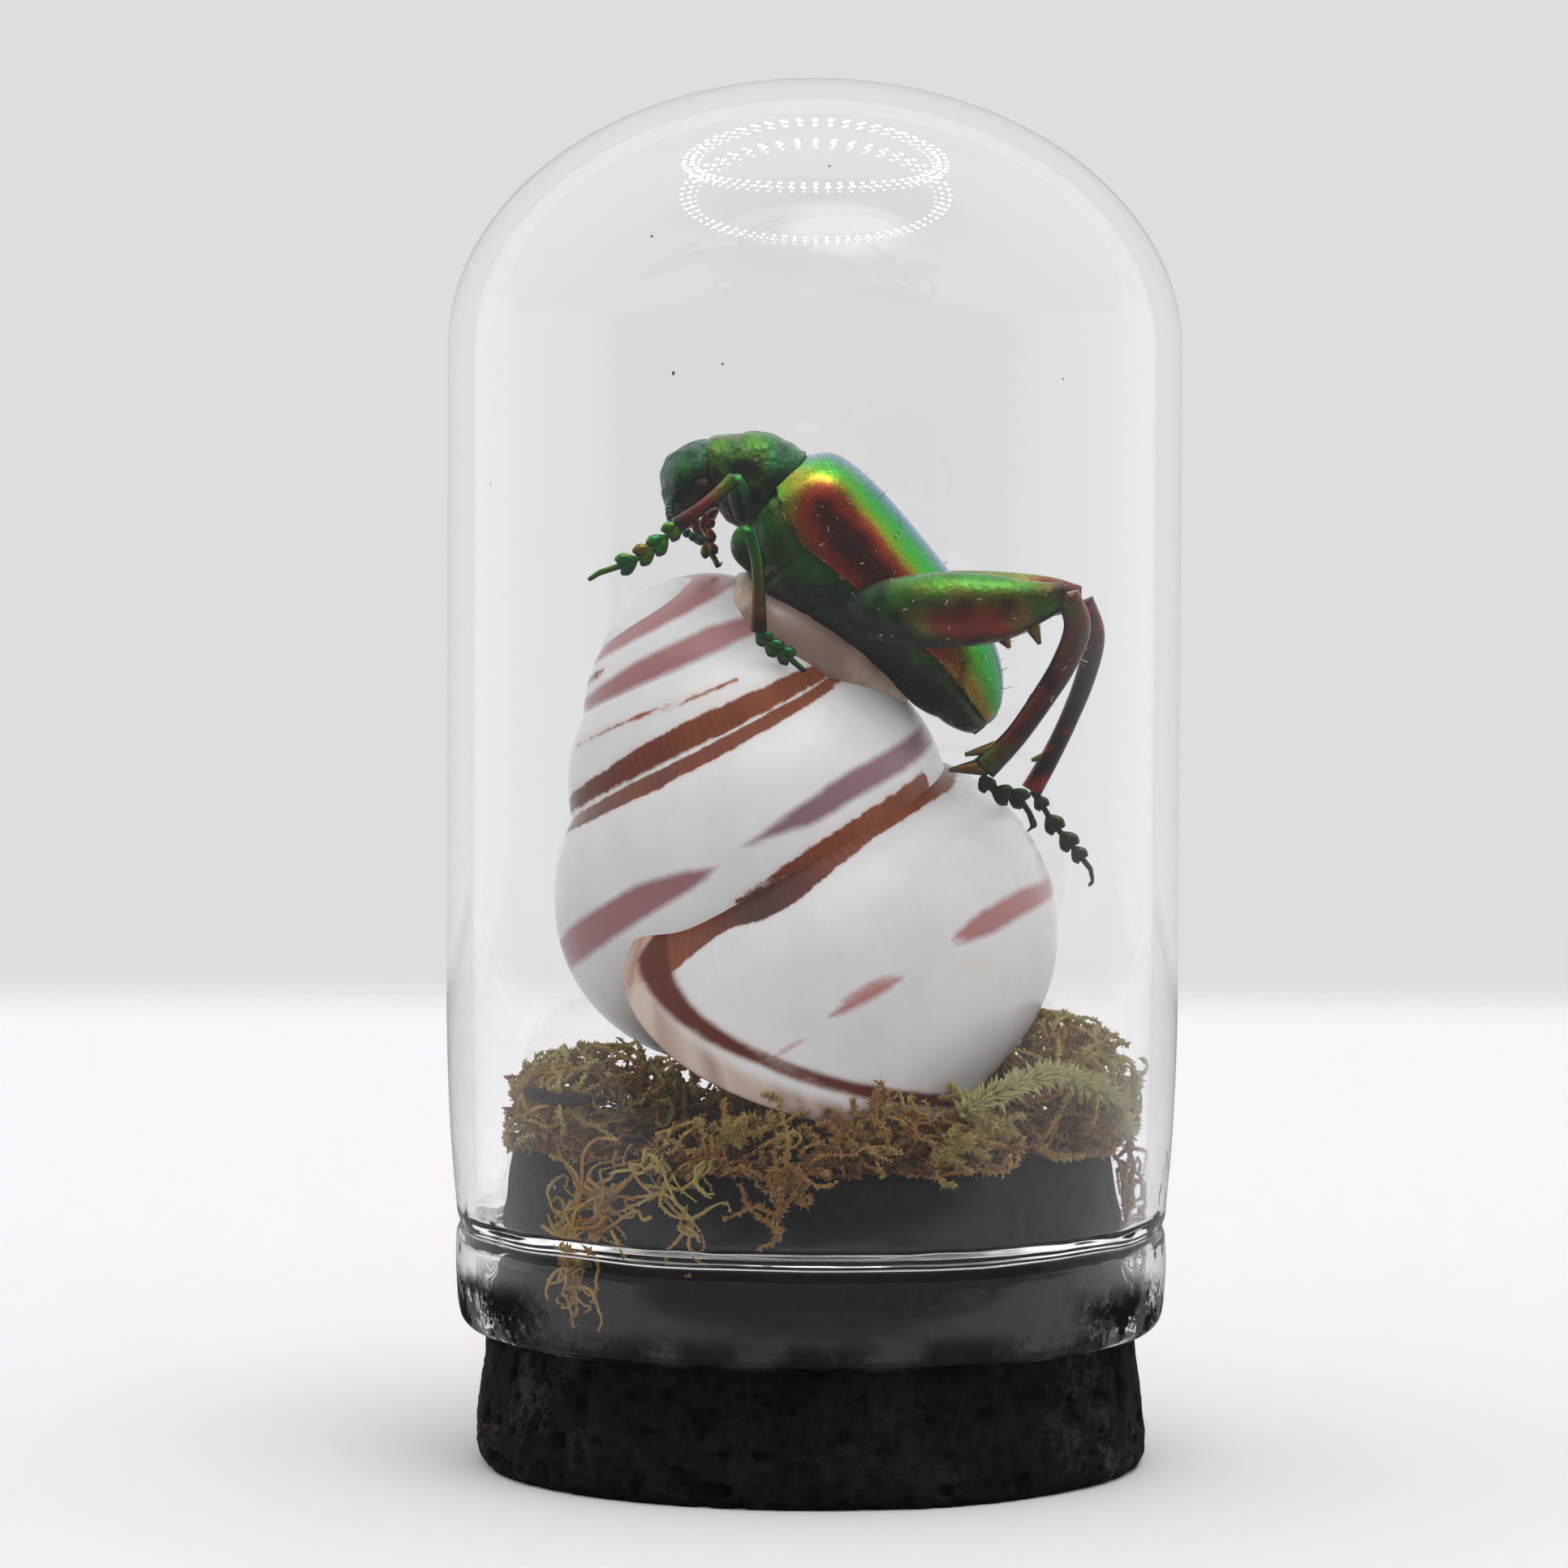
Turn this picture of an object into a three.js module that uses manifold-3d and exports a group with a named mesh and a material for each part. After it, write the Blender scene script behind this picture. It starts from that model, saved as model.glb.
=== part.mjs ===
// A metallic frog-legged leaf beetle on a banded snail shell, bedded in dried moss on a cork
// stopper, under a small clear glass dome. Millimetres, +Z up, front towards -Y.
// The origin is the centre of the cork's underside.
import * as THREE from 'three';
import { mergeVertices } from 'three/addons/utils/BufferGeometryUtils.js';
import Module from 'manifold-3d';

const wasm = await Module();
wasm.setup();

// ---------------------------------------------------------------- driving dimensions
const CORK = { height: 16.8, foot: 17.0, widest: 17.6, top: 15.5 };
const DOME = {
  radius: 19.0,        // outside, over most of the height
  wall: 1.3,
  mouthRadius: 17.12,  // the rim closes round the cork
  rimBottom: 7.2,
  rimRadius: 18.4,
  beadHeight: 12.45,   // the thick ring where the neck was pressed
  beadRadius: 17.0,
  waist: 18.45,
  straightFrom: 23.0,
  crownFrom: 58.0,
  crownRise: 14.0,
  crownWall: 1.1,
};
const SHELL = {
  apex: [-9.08, 1.99, 49.28],  // where the coiling axis starts
  lean: 20.8,                  // degrees that the axis leans to the left
  nod: -3.4,                   // degrees that it nods to the back
  lipAngle: -144.6,            // where the last whorl ends, round the axis, degrees
  offset: [6.31, 0.396, -0.027],    // whorl centre from the axis: size, growth, change of growth
  drop: [28.95, 0.453, 0.0425],     // whorl centre below the apex
  width: [8.54, 0.145, -0.0108],    // half-width of the whorl's section
  tallness: [1.036, -0.062],        // section height over width, and its change per whorl
  tilt: 11.0,                  // degrees that the section is turned
  whorls: 5,
  wall: 1.0,
  flare: 0.9,                  // how far the lip turns out
  cap: { from: 2.5, to: 3.5, swell: 0.6 },  // the first whorls, in whorls from the lip, are fuller
  lipFrom: 100,                // below this angle from the apex the lip sweeps back, degrees
  lipSweep: [-0.037, -0.0019, -0.00004, -0.35],  // turns: start, per degree, per degree squared, most
  seat: 17.3,                  // the base is worn and bedded flat at this height
};
const ELYTRA = { wall: 0.55, parting: 0.16 };
const GAP = 0.3;               // between neighbours that touch
const ROUND = 32;              // flats round the dome and the cork

const rad = THREE.MathUtils.degToRad;
const V = (x, y, z) => new THREE.Vector3(x, y, z);

// ---------------------------------------------------------------- materials
function finish(color, roughness, metalness = 0) {
  return new THREE.MeshStandardMaterial({ color, roughness, metalness });
}

const CLEAR_GLASS = finish('#e8eeea', 0.03);
CLEAR_GLASS.transparent = true;
CLEAR_GLASS.opacity = 0.25;
const BLACK_CORK = finish('#17161a', 0.85);
const PORCELAIN_SHELL = finish('#e9e6e6', 0.3);
const DRIED_GLUE = finish('#b79c85', 0.35);
const DRY_MOSS = finish('#8b7a3a', 0.95);
const DARK_TWIG = finish('#2c2220', 0.9);
const GREEN_ELYTRON = finish('#1f9a3c', 0.3, 0.8);
const OLIVE_BODY = finish('#2c4a1c', 0.35, 0.7);
const DARK_HEAD = finish('#24422a', 0.4, 0.6);
const COPPER_LEG = finish('#5a3a22', 0.4, 0.5);

// ---------------------------------------------------------------- closed meshes
function enclosedVolume(geometry) {
  const p = geometry.attributes.position;
  const index = geometry.index;
  const [a, b, c] = [V(), V(), V()];
  let volume = 0;
  for (let i = 0; i < index.count; i += 3) {
    a.fromBufferAttribute(p, index.getX(i));
    b.fromBufferAttribute(p, index.getX(i + 1));
    c.fromBufferAttribute(p, index.getX(i + 2));
    volume += a.dot(b.cross(c)) / 6;
  }
  return volume;
}

// Merges the shared vertices and turns the faces so that they point out.
function closed(geometry) {
  const bare = geometry.index ? geometry.toNonIndexed() : geometry.clone();
  bare.deleteAttribute('normal');
  bare.deleteAttribute('uv');
  const merged = mergeVertices(bare, 1e-4);
  const kept = [];
  const index = merged.index.array;
  for (let i = 0; i < index.length; i += 3) {
    const [a, b, c] = [index[i], index[i + 1], index[i + 2]];
    if (a !== b && b !== c && c !== a) kept.push(a, b, c);
  }
  merged.setIndex(kept);
  if (enclosedVolume(merged) < 0) {
    for (let i = 0; i < kept.length; i += 3) [kept[i + 1], kept[i + 2]] = [kept[i + 2], kept[i + 1]];
    merged.setIndex(kept);
  }
  return merged;
}

function solid(geometry) {
  const shape = closed(geometry);
  const mesh = new wasm.Mesh({
    numProp: 3,
    vertProperties: new Float32Array(shape.attributes.position.array),
    triVerts: new Uint32Array(shape.index.array),
  });
  return new wasm.Manifold(mesh);
}

function geometryOf(manifold) {
  const mesh = manifold.getMesh();
  const geometry = new THREE.BufferGeometry();
  geometry.setAttribute('position', new THREE.BufferAttribute(new Float32Array(mesh.vertProperties), 3));
  geometry.setIndex(new THREE.BufferAttribute(new Uint32Array(mesh.triVerts), 1));
  return geometry;
}

// What is left of a cut piece once its loose chips are dropped.
function mainPiece(manifold) {
  return manifold.decompose().reduce((best, next) => (next.volume() > best.volume() ? next : best));
}

const fused = (...geometries) => geometries.map(solid).reduce((all, next) => all.add(next));

// Rings of points, all with the same count, joined in order and closed by a fan at each end.
// Each four-sided patch is split along its shorter diagonal.
function skin(rings) {
  const sides = rings[0].length;
  const points = rings.flat();
  const positions = points.flatMap((p) => [p.x, p.y, p.z]);
  const index = [];
  for (let i = 0; i + 1 < rings.length; i += 1) {
    for (let j = 0; j < sides; j += 1) {
      const [a, b] = [i * sides + j, i * sides + ((j + 1) % sides)];
      const [c, d] = [a + sides, b + sides];
      const straight = points[a].distanceTo(points[d]) <= points[b].distanceTo(points[c]);
      index.push(...(straight ? [a, b, d, a, d, c] : [a, b, c, b, d, c]));
    }
  }
  for (const end of [0, rings.length - 1]) {
    const middle = rings[end].reduce((sum, p) => sum.add(p), V(0, 0, 0)).divideScalar(sides);
    const hub = positions.length / 3;
    positions.push(middle.x, middle.y, middle.z);
    for (let j = 0; j < sides; j += 1) {
      const [a, b] = [end * sides + j, end * sides + ((j + 1) % sides)];
      index.push(...(end === 0 ? [hub, b, a] : [hub, a, b]));
    }
  }
  const geometry = new THREE.BufferGeometry();
  geometry.setAttribute('position', new THREE.Float32BufferAttribute(positions, 3));
  geometry.setIndex(index);
  return geometry;
}

// A smooth limb through stations [x, y, z, radius]. flat squeezes its section along Y.
function limb(stations, { steps = 3, sides = 8, flat = 1 } = {}) {
  const path = new THREE.CatmullRomCurve3(stations.map(([x, y, z]) => V(x, y, z)), false, 'centripetal');
  const last = (stations.length - 1) * steps;
  const rings = [];
  for (let i = 0; i <= last; i += 1) {
    const t = i / last;
    const slot = Math.min(Math.floor(i / steps), stations.length - 2);
    const radius = THREE.MathUtils.lerp(stations[slot][3], stations[slot + 1][3], i / steps - slot);
    const centre = path.getPoint(t);
    const along = path.getTangent(t);
    const side = V(0, 1, 0).addScaledVector(along, -along.y).normalize();
    const up = along.clone().cross(side);
    rings.push(Array.from({ length: sides }, (_, j) => {
      const turn = (2 * Math.PI * j) / sides;
      return centre.clone()
        .addScaledVector(side, radius * flat * Math.cos(turn))
        .addScaledVector(up, radius * Math.sin(turn));
    }));
  }
  return skin(rings);
}

function ellipsoid(centre, radii, { around = 12, down = 8, turn = 0 } = {}) {
  const geometry = new THREE.SphereGeometry(1, around, down);
  geometry.scale(...radii);
  geometry.rotateY(rad(turn));
  return geometry.translate(...centre);
}

const group = new THREE.Group();

function add(name, shape, material) {
  const geometry = shape.isBufferGeometry ? closed(shape) : geometryOf(shape);
  const mesh = new THREE.Mesh(geometry, material);
  mesh.name = name;
  group.add(mesh);
}

// A body turned about the vertical axis from a closed [radius, height] profile.
function turned(profile, segments) {
  const lathe = new THREE.LatheGeometry(profile.map(([r, z]) => new THREE.Vector2(r, z)), segments);
  return lathe.rotateX(Math.PI / 2);
}

// ---------------------------------------------------------------- glass dome and cork
function crownArc(radius, rise, count) {
  return Array.from({ length: count + 1 }, (_, i) => {
    const turn = (Math.PI / 2) * (i / count);
    return [radius * Math.cos(turn), DOME.crownFrom + rise * Math.sin(turn)];
  });
}

function glassDome() {
  const inner = DOME.radius - DOME.wall;
  const bead = DOME.beadHeight;
  const outside = [
    [DOME.mouthRadius + 0.35, DOME.rimBottom],
    [DOME.rimRadius - 0.35, DOME.rimBottom + 0.35],
    [DOME.rimRadius, DOME.rimBottom + 1.5],
    [DOME.waist, bead],
    [DOME.waist + 0.35, bead + 5.2],
    [DOME.radius, DOME.straightFrom],
    ...crownArc(DOME.radius, DOME.crownRise, 7),
  ];
  const inside = [
    ...crownArc(inner, DOME.crownRise - DOME.crownWall, 7).reverse(),
    [inner, DOME.straightFrom],
    [inner - 0.3, bead + 1.2],
    [DOME.beadRadius, bead + 0.4],
    [DOME.beadRadius, bead - 0.4],
    [inner - 0.3, bead - 1.2],
    [inner - 0.3, DOME.rimBottom + 1.4],
    [DOME.mouthRadius, DOME.rimBottom + 0.4],
  ];
  return turned([...outside, ...inside, outside[0]], ROUND);
}

function corkStopper() {
  return turned([
    [0, 0],
    [CORK.foot, 0],
    [CORK.widest - 0.12, 0.7],
    [CORK.widest, 2],
    [CORK.top + 0.1, CORK.height - 0.5],
    [CORK.top - 0.3, CORK.height],
    [0, CORK.height],
  ], ROUND);
}

// ---------------------------------------------------------------- snail shell
const grown = ([size, growth, change], t) => size * Math.exp(growth * t + change * t * t);

const shellFrame = (() => {
  const [lean, nod] = [rad(SHELL.lean), rad(SHELL.nod)];
  const axis = V(-Math.sin(lean) * Math.cos(nod), -Math.sin(nod), Math.cos(lean) * Math.cos(nod));
  const back = V(0, 1, 0).addScaledVector(axis, -axis.y).normalize();
  return { axis, back, right: back.clone().cross(axis) };
})();

// Where the lip crosses a ray at an angle from the apex, in turns from the lip's upper end.
function lipTurn(tip) {
  const [start, slope, bend, most] = SHELL.lipSweep;
  const past = Math.max(0, THREE.MathUtils.radToDeg(tip) - SHELL.lipFrom);
  return Math.max(most, start + slope * past + bend * past * past);
}

// The whorl's section at t turns from the lip's upper end: an ellipse in the half-plane
// through the axis, turned out close to the lip.
function whorl(t, swell = 0, lip = 0) {
  const { from, to, swell: capSwell } = SHELL.cap;
  const fuller = SHELL.flare * Math.exp(-(((t - lip) / 0.03) ** 2))
    + capSwell * THREE.MathUtils.smoothstep(-t, from, to);
  const a = grown(SHELL.width, t);
  return {
    r: grown(SHELL.offset, t),
    z: -grown(SHELL.drop, t),
    a: a + swell + fuller,
    b: a * (SHELL.tallness[0] + SHELL.tallness[1] * t) + swell + fuller,
  };
}

function onShell(r, z, turn) {
  return V(...SHELL.apex)
    .addScaledVector(shellFrame.right, r * Math.cos(turn))
    .addScaledVector(shellFrame.back, r * Math.sin(turn))
    .addScaledVector(shellFrame.axis, z);
}

// Distance from a point on the axis, along a ray, to the far side of one whorl's section.
function reach(section, z0, dr, dz) {
  const [c, s] = [Math.cos(rad(SHELL.tilt)), Math.sin(rad(SHELL.tilt))];
  const [or, oz] = [-section.r, z0 - section.z];
  const [ox, oy] = [(or * c + oz * s) / section.a, (-or * s + oz * c) / section.b];
  const [dx, dy] = [(dr * c + dz * s) / section.a, (-dr * s + dz * c) / section.b];
  const [qa, qb, qc] = [dx * dx + dy * dy, ox * dx + oy * dy, ox * ox + oy * oy - 1];
  const root = qb * qb - qa * qc;
  return root < 0 ? 0 : (-qb + Math.sqrt(root)) / qa;
}

// The outside of all the whorls together, as rays from one point on the axis.
// first = 0 takes in the last whorl, first = 1 leaves it out.
function whorlEnvelope({ first = 0, swell = 0, columns = 30, rows = 22 } = {}) {
  const heart = -20;
  const point = (tip, t) => {
    const [dr, dz] = [Math.sin(tip), Math.cos(tip)];
    const turn = rad(SHELL.lipAngle) - 2 * Math.PI * t;
    const lip = lipTurn(tip);
    let far = 0;
    for (let k = first; k < SHELL.whorls; k += 1) {
      far = Math.max(far, reach(whorl(t - k, swell, lip), heart, dr, dz));
    }
    const centre = onShell(0, heart, turn);
    const edge = onShell(far * dr, heart + far * dz, turn);
    const floor = SHELL.seat - swell;
    return edge.z < floor ? centre.lerp(edge, (centre.z - floor) / (centre.z - edge.z)) : edge;
  };
  const shares = Array.from({ length: columns }, (_, i) => -i / (columns - 0.3));
  if (first === 0) shares.push(-1);
  const rings = Array.from({ length: rows - 1 }, (_, j) => {
    const tip = (Math.PI * (j + 1)) / rows;
    return shares.map((share) => point(tip, lipTurn(tip) + share));
  });
  return skin(rings);
}

// The hollow behind the lip, without the part that the earlier whorls fill.
function aperture() {
  const rings = [];
  for (let t = -0.42; t <= 0.061; t += 0.06) {
    const section = whorl(Math.min(t, 0), -SHELL.wall);
    const [c, s] = [Math.cos(rad(SHELL.tilt)), Math.sin(rad(SHELL.tilt))];
    const narrowing = Math.min(1, 0.35 + (t + 0.42) * 3);
    rings.push(Array.from({ length: 14 }, (_, j) => {
      const turn = (2 * Math.PI * j) / 14;
      const [x, y] = [section.a * narrowing * Math.cos(turn), section.b * narrowing * Math.sin(turn)];
      const r = Math.max(section.r + x * c - y * s, 0.6);
      return onShell(r, section.z + x * s + y * c, rad(SHELL.lipAngle) - 2 * Math.PI * t);
    }));
  }
  return solid(skin(rings)).subtract(solid(whorlEnvelope({ first: 1, columns: 18, rows: 14 })));
}

const snailShell = mainPiece(solid(whorlEnvelope()).subtract(aperture()));
const shellClearance = solid(whorlEnvelope({ swell: GAP + 0.1 }));

// ---------------------------------------------------------------- beetle trunk
// The trunk runs from the pronotum down to the wing tips. s is along it, h is up from its belly
// line, and the beetle's own left is towards -Y.
const TRUNK = { origin: V(-1.5, 0, 49.5), slope: 49 };
const alongTrunk = V(Math.cos(rad(TRUNK.slope)), 0, -Math.sin(rad(TRUNK.slope)));
const offTrunk = V(Math.sin(rad(TRUNK.slope)), 0, Math.cos(rad(TRUNK.slope)));
const inTrunk = (s, y, h) => TRUNK.origin.clone()
  .addScaledVector(alongTrunk, s).addScaledVector(offTrunk, h).add(V(0, y, 0));

// Stations [s, back height, edge height, belly height, half-width].
const TRUNK_STATIONS = [
  [-1.5, 2.9, 0.6, -0.6, 2.6],
  [-0.6, 4.0, 0.2, -1.9, 3.4],
  [1.5, 4.5, -0.2, -3.5, 3.9],
  [3.9, 4.6, 0.2, -4.2, 4.1],
  [6.5, 4.55, 0.6, -3.1, 4.1],
  [9.2, 4.4, 1.0, -1.8, 3.9],
  [11.6, 4.05, 1.1, -1.1, 3.3],
  [13.4, 3.3, 1.0, -0.5, 2.4],
  [14.6, 2.3, 0.9, 0.0, 1.5],
  [15.1, 1.5, 0.9, 0.3, 0.8],
];

// Arc from the left edge over the back to the right edge, between two angles in degrees.
function backArc([s, back, edge, , width], inset, from, to, count) {
  return Array.from({ length: count + 1 }, (_, j) => {
    const turn = rad(THREE.MathUtils.lerp(from, to, j / count));
    const [w, rise] = [Math.max(width - inset, 0.1), Math.max(back - edge - inset, 0.1)];
    return [s, -w * Math.cos(turn), edge + rise * Math.sin(turn) ** 0.9];
  });
}

function elytron(side) {
  const rings = TRUNK_STATIONS.map((station) => {
    const outer = backArc(station, 0, 0, 90, 5);
    const inner = backArc(station, ELYTRA.wall, 0, 90, 4).reverse();
    const parted = ([s, y, h]) => inTrunk(s, side * Math.max(-y, ELYTRA.parting / 2), h);
    return [...outer, ...inner].map(parted);
  });
  return skin(rings);
}

function trunk(swell = 0) {
  const inset = ELYTRA.wall + GAP - swell;
  const rings = TRUNK_STATIONS.map(([start, ...section], i) => {
    const s = i === 0 ? start - Math.min(swell, GAP) : start;
    const [, edge, belly, width] = section;
    const top = backArc([s, ...section], inset, 6, 174, 8);
    const low = Array.from({ length: 6 }, (_, j) => {
      const turn = rad(180 + 25.7 * (j + 1));
      const drop = Math.max(edge - belly, 0.3) + swell;
      return [s, -(width * 0.84 + swell) * Math.cos(turn), edge - 0.35 + drop * Math.sin(turn)];
    });
    return [...top, ...low].map(([x, y, h]) => inTrunk(x, y, h));
  });
  return skin(rings);
}

const trunkClearance = solid(trunk(ELYTRA.wall + 2 * GAP));

// Head and pronotum stations [x, z, half-height, half-width], front last.
function foreBody(stations, swell = 0) {
  const sides = 12;
  const path = new THREE.CatmullRomCurve3(stations.map(([x, z]) => V(x, 0, z)));
  const rings = stations.map(([x0, z, height, width], i) => {
    const x = i === stations.length - 1 ? x0 - swell : x0;
    const [tall, wide] = [height + swell, width + swell];
    const along = path.getTangent(i / (stations.length - 1));
    const up = V(-along.z, 0, along.x).multiplyScalar(-1);
    return Array.from({ length: sides }, (_, j) => {
      const turn = (2 * Math.PI * j) / sides;
      return V(x, 0, z).addScaledVector(up, tall * Math.sin(turn)).add(V(0, wide * Math.cos(turn), 0));
    });
  });
  return skin(rings);
}

const PRONOTUM_STATIONS = [
  [-1.75, 50.6, 2.2, 2.3],
  [-2.2, 50.85, 2.5, 2.5],
  [-3.2, 51.3, 2.5, 2.4],
  [-4.4, 51.55, 2.15, 2.35],
  [-5.1, 51.6, 1.9, 2.1],
];
const HEAD_STATIONS = [
  [-5.35, 51.55, 1.75, 1.7],
  [-5.8, 51.4, 1.95, 1.9],
  [-6.4, 50.8, 1.75, 1.8],
  [-6.9, 50.1, 1.1, 1.4],
  [-7.2, 49.6, 0.7, 1.0],
  [-7.35, 49.35, 0.35, 0.6],
];

const pronotumClearance = solid(foreBody(PRONOTUM_STATIONS, GAP));

// A beetle piece cut back from the trunk, the pronotum and the shell, where it meets them.
function cutBack(manifold) {
  return mainPiece(manifold
    .subtract(trunkClearance).subtract(pronotumClearance).subtract(shellClearance));
}

function head() {
  const eyes = [-1, 1].map((side) => ellipsoid([-5.9, side * 1.75, 50.8], [0.75, 0.45, 0.85], { around: 8, down: 5 }));
  const palps = [-1, 1].map((side) => limb([
    [-6.4, side * 0.5, 49.9, 0.3],
    [-6.1, side * 0.6, 49.0, 0.25],
    [-5.9, side * 0.6, 48.3, 0.3],
  ], { sides: 5, steps: 1 }));
  const jaws = [-1, 1].map((side) => ellipsoid([-7.3, side * 0.4, 49.4], [0.4, 0.35, 0.5], { around: 6, down: 4 }));
  return fused(foreBody(HEAD_STATIONS), ...eyes, ...palps, ...jaws);
}

function antenna(side) {
  const joints = 6;
  const path = new THREE.QuadraticBezierCurve3(
    V(-7.3, side * 1.45, 50.35), V(-8.0, side * 3.0, 49.2), V(-5.6, side * 4.1, 48.3));
  const stations = Array.from({ length: joints * 2 + 1 }, (_, i) => {
    const p = path.getPoint(i / (joints * 2));
    return [p.x, p.y, p.z, i % 2 === 1 ? 0.26 : 0.15];
  });
  return limb(stations, { steps: 1, sides: 5 });
}

// ---------------------------------------------------------------- beetle legs
// A tarsus from the ankle: lobed pads [x, y, z, radius] with narrow necks between them, then
// the claw joint and two claws.
function tarsus(ankle, pads, claw, tips) {
  const stations = [[...ankle.slice(0, 3), 0.22]];
  for (const [x, y, z, r] of pads) {
    const [lastX, lastY, lastZ] = stations[stations.length - 1];
    stations.push([(lastX + x) / 2, (lastY + y) / 2, (lastZ + z) / 2, 0.24], [x, y, z, r * 0.88]);
  }
  const foot = limb([...stations, [...claw, 0.17]], { steps: 1, sides: 6 });
  const hooks = tips.map((tip) => limb([[...claw, 0.17], [...tip, 0.07]], { steps: 1, sides: 4 }));
  return [foot, ...hooks];
}

function leg({ femur, tibia, spurs = [], pads, claw, tips, flat = 0.75 }) {
  return fused(
    limb(femur, { flat, steps: 1 }),
    limb(tibia, { steps: 1, sides: 6 }),
    ...spurs.map((spur) => limb(spur, { steps: 1, sides: 4 })),
    ...tarsus(tibia[tibia.length - 1], pads, claw, tips),
  );
}

const LEGS = {
  front_left: {
    femur: [[-3.6, -2.75, 49.5, 0.5], [-3.9, -3.6, 50.8, 0.6], [-4.1, -4.3, 51.6, 0.4]],
    tibia: [[-4.1, -4.3, 51.6, 0.36], [-5.4, -4.8, 50.4, 0.33], [-7.0, -5.2, 49.2, 0.42]],
    pads: [[-7.2, -5.3, 49.0, 0.55], [-7.9, -5.4, 48.3, 0.6], [-8.6, -5.5, 47.8, 0.6], [-9.5, -5.6, 47.3, 0.6]],
    claw: [-10.9, -5.6, 46.8],
    tips: [[-11.35, -5.4, 46.4], [-11.4, -5.8, 46.5]],
  },
  front_right: {
    femur: [[-3.6, 2.75, 49.5, 0.5], [-4.0, 3.4, 50.6, 0.6], [-4.4, 3.7, 51.2, 0.4]],
    tibia: [[-4.4, 3.7, 51.2, 0.36], [-5.0, 3.4, 50.0, 0.33], [-5.6, 2.8, 49.0, 0.4]],
    pads: [[-5.6, 2.7, 48.9, 0.45], [-5.6, 2.5, 48.2, 0.5], [-5.5, 2.3, 47.5, 0.5]],
    claw: [-5.2, 2.1, 47.0],
    tips: [[-5.0, 1.9, 46.7], [-4.8, 2.3, 46.8]],
  },
  middle_left: {
    femur: [[-2.9, -3.3, 47.0, 0.6], [-3.5, -4.0, 47.9, 0.75], [-3.6, -4.9, 48.6, 0.6], [-3.3, -5.3, 49.0, 0.38]],
    tibia: [[-3.3, -5.3, 49.0, 0.36], [-2.9, -5.5, 47.0, 0.3], [-2.8, -5.3, 43.8, 0.42]],
    pads: [[-2.6, -5.2, 43.5, 0.5], [-2.1, -5.1, 43.0, 0.55], [-1.5, -5.0, 42.6, 0.55]],
    claw: [-0.9, -5.0, 42.1],
    tips: [[-0.6, -4.9, 41.7], [-0.5, -5.2, 41.9]],
  },
  middle_right: {
    femur: [[-2.9, 3.3, 47.0, 0.6], [-3.2, 4.6, 47.4, 0.75], [-3.0, 6.0, 47.2, 0.4]],
    tibia: [[-3.0, 6.0, 47.2, 0.36], [-2.6, 6.6, 45.2, 0.3], [-2.2, 6.8, 43.2, 0.42]],
    pads: [[-2.1, 6.8, 42.9, 0.5], [-1.5, 6.9, 42.3, 0.55], [-0.9, 7.0, 41.8, 0.55]],
    claw: [-0.3, 7.1, 41.3],
    tips: [[0.0, 7.0, 40.9], [0.1, 7.3, 41.0]],
  },
  hind_left: {
    femur: [
      [1.9, -4.95, 44.9, 0.9], [3.6, -5.6, 44.9, 1.6], [6.4, -6.3, 45.0, 1.95],
      [9.4, -6.6, 45.15, 1.7], [11.4, -6.6, 45.5, 1.05], [12.7, -6.5, 45.9, 0.6],
    ],
    tibia: [
      [12.75, -6.5, 45.9, 0.6], [13.25, -6.4, 44.2, 0.66], [12.65, -6.2, 42.3, 0.64],
      [11.55, -6.0, 40.4, 0.6], [10.2, -5.7, 38.4, 0.58], [8.7, -5.4, 36.8, 0.68],
    ],
    spurs: [
      [[9.3, -5.5, 37.9, 0.35], [7.7, -5.5, 37.5, 0.1]],
      [[8.7, -5.4, 36.9, 0.5], [6.9, -5.4, 36.7, 0.1]],
      [[9.3, -6.6, 44.1, 0.6], [9.9, -6.6, 43.1, 0.1]],
      [[10.8, -6.6, 44.8, 0.6], [11.4, -6.6, 43.3, 0.1]],
    ],
    pads: [[8.8, -5.2, 36.0, 0.5], [9.6, -5.1, 35.45, 0.6], [10.4, -5.1, 35.3, 0.6]],
    claw: [11.0, -5.1, 34.5],
    tips: [[10.9, -5.0, 33.5], [11.2, -5.3, 33.7]],
    flat: 0.72,
  },
  hind_right: {
    femur: [
      [1.9, 4.95, 44.7, 0.9], [3.8, 5.6, 44.5, 1.4], [6.6, 6.2, 44.4, 1.7],
      [9.8, 6.2, 44.5, 1.6], [12.4, 6.2, 44.75, 1.1], [14.3, 6.1, 44.7, 0.65],
    ],
    tibia: [
      [14.4, 6.1, 44.6, 0.6], [15.05, 6.0, 42.8, 0.62], [14.6, 6.0, 40.7, 0.58],
      [13.7, 5.9, 38.5, 0.52], [12.7, 5.8, 36.5, 0.52], [11.6, 5.7, 34.6, 0.58],
    ],
    spurs: [
      [[12.7, 5.8, 36.5, 0.35], [11.6, 5.8, 36.2, 0.1]],
      [[10.0, 6.2, 44.0, 0.5], [10.3, 6.2, 43.0, 0.1]],
    ],
    pads: [[12.1, 5.7, 34.0, 0.45], [12.8, 5.7, 32.9, 0.6], [13.6, 5.7, 32.0, 0.6], [14.2, 5.7, 31.3, 0.5]],
    claw: [14.9, 5.7, 30.5],
    tips: [[14.75, 5.5, 29.6], [14.8, 5.9, 29.7]],
    flat: 0.72,
  },
};

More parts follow.
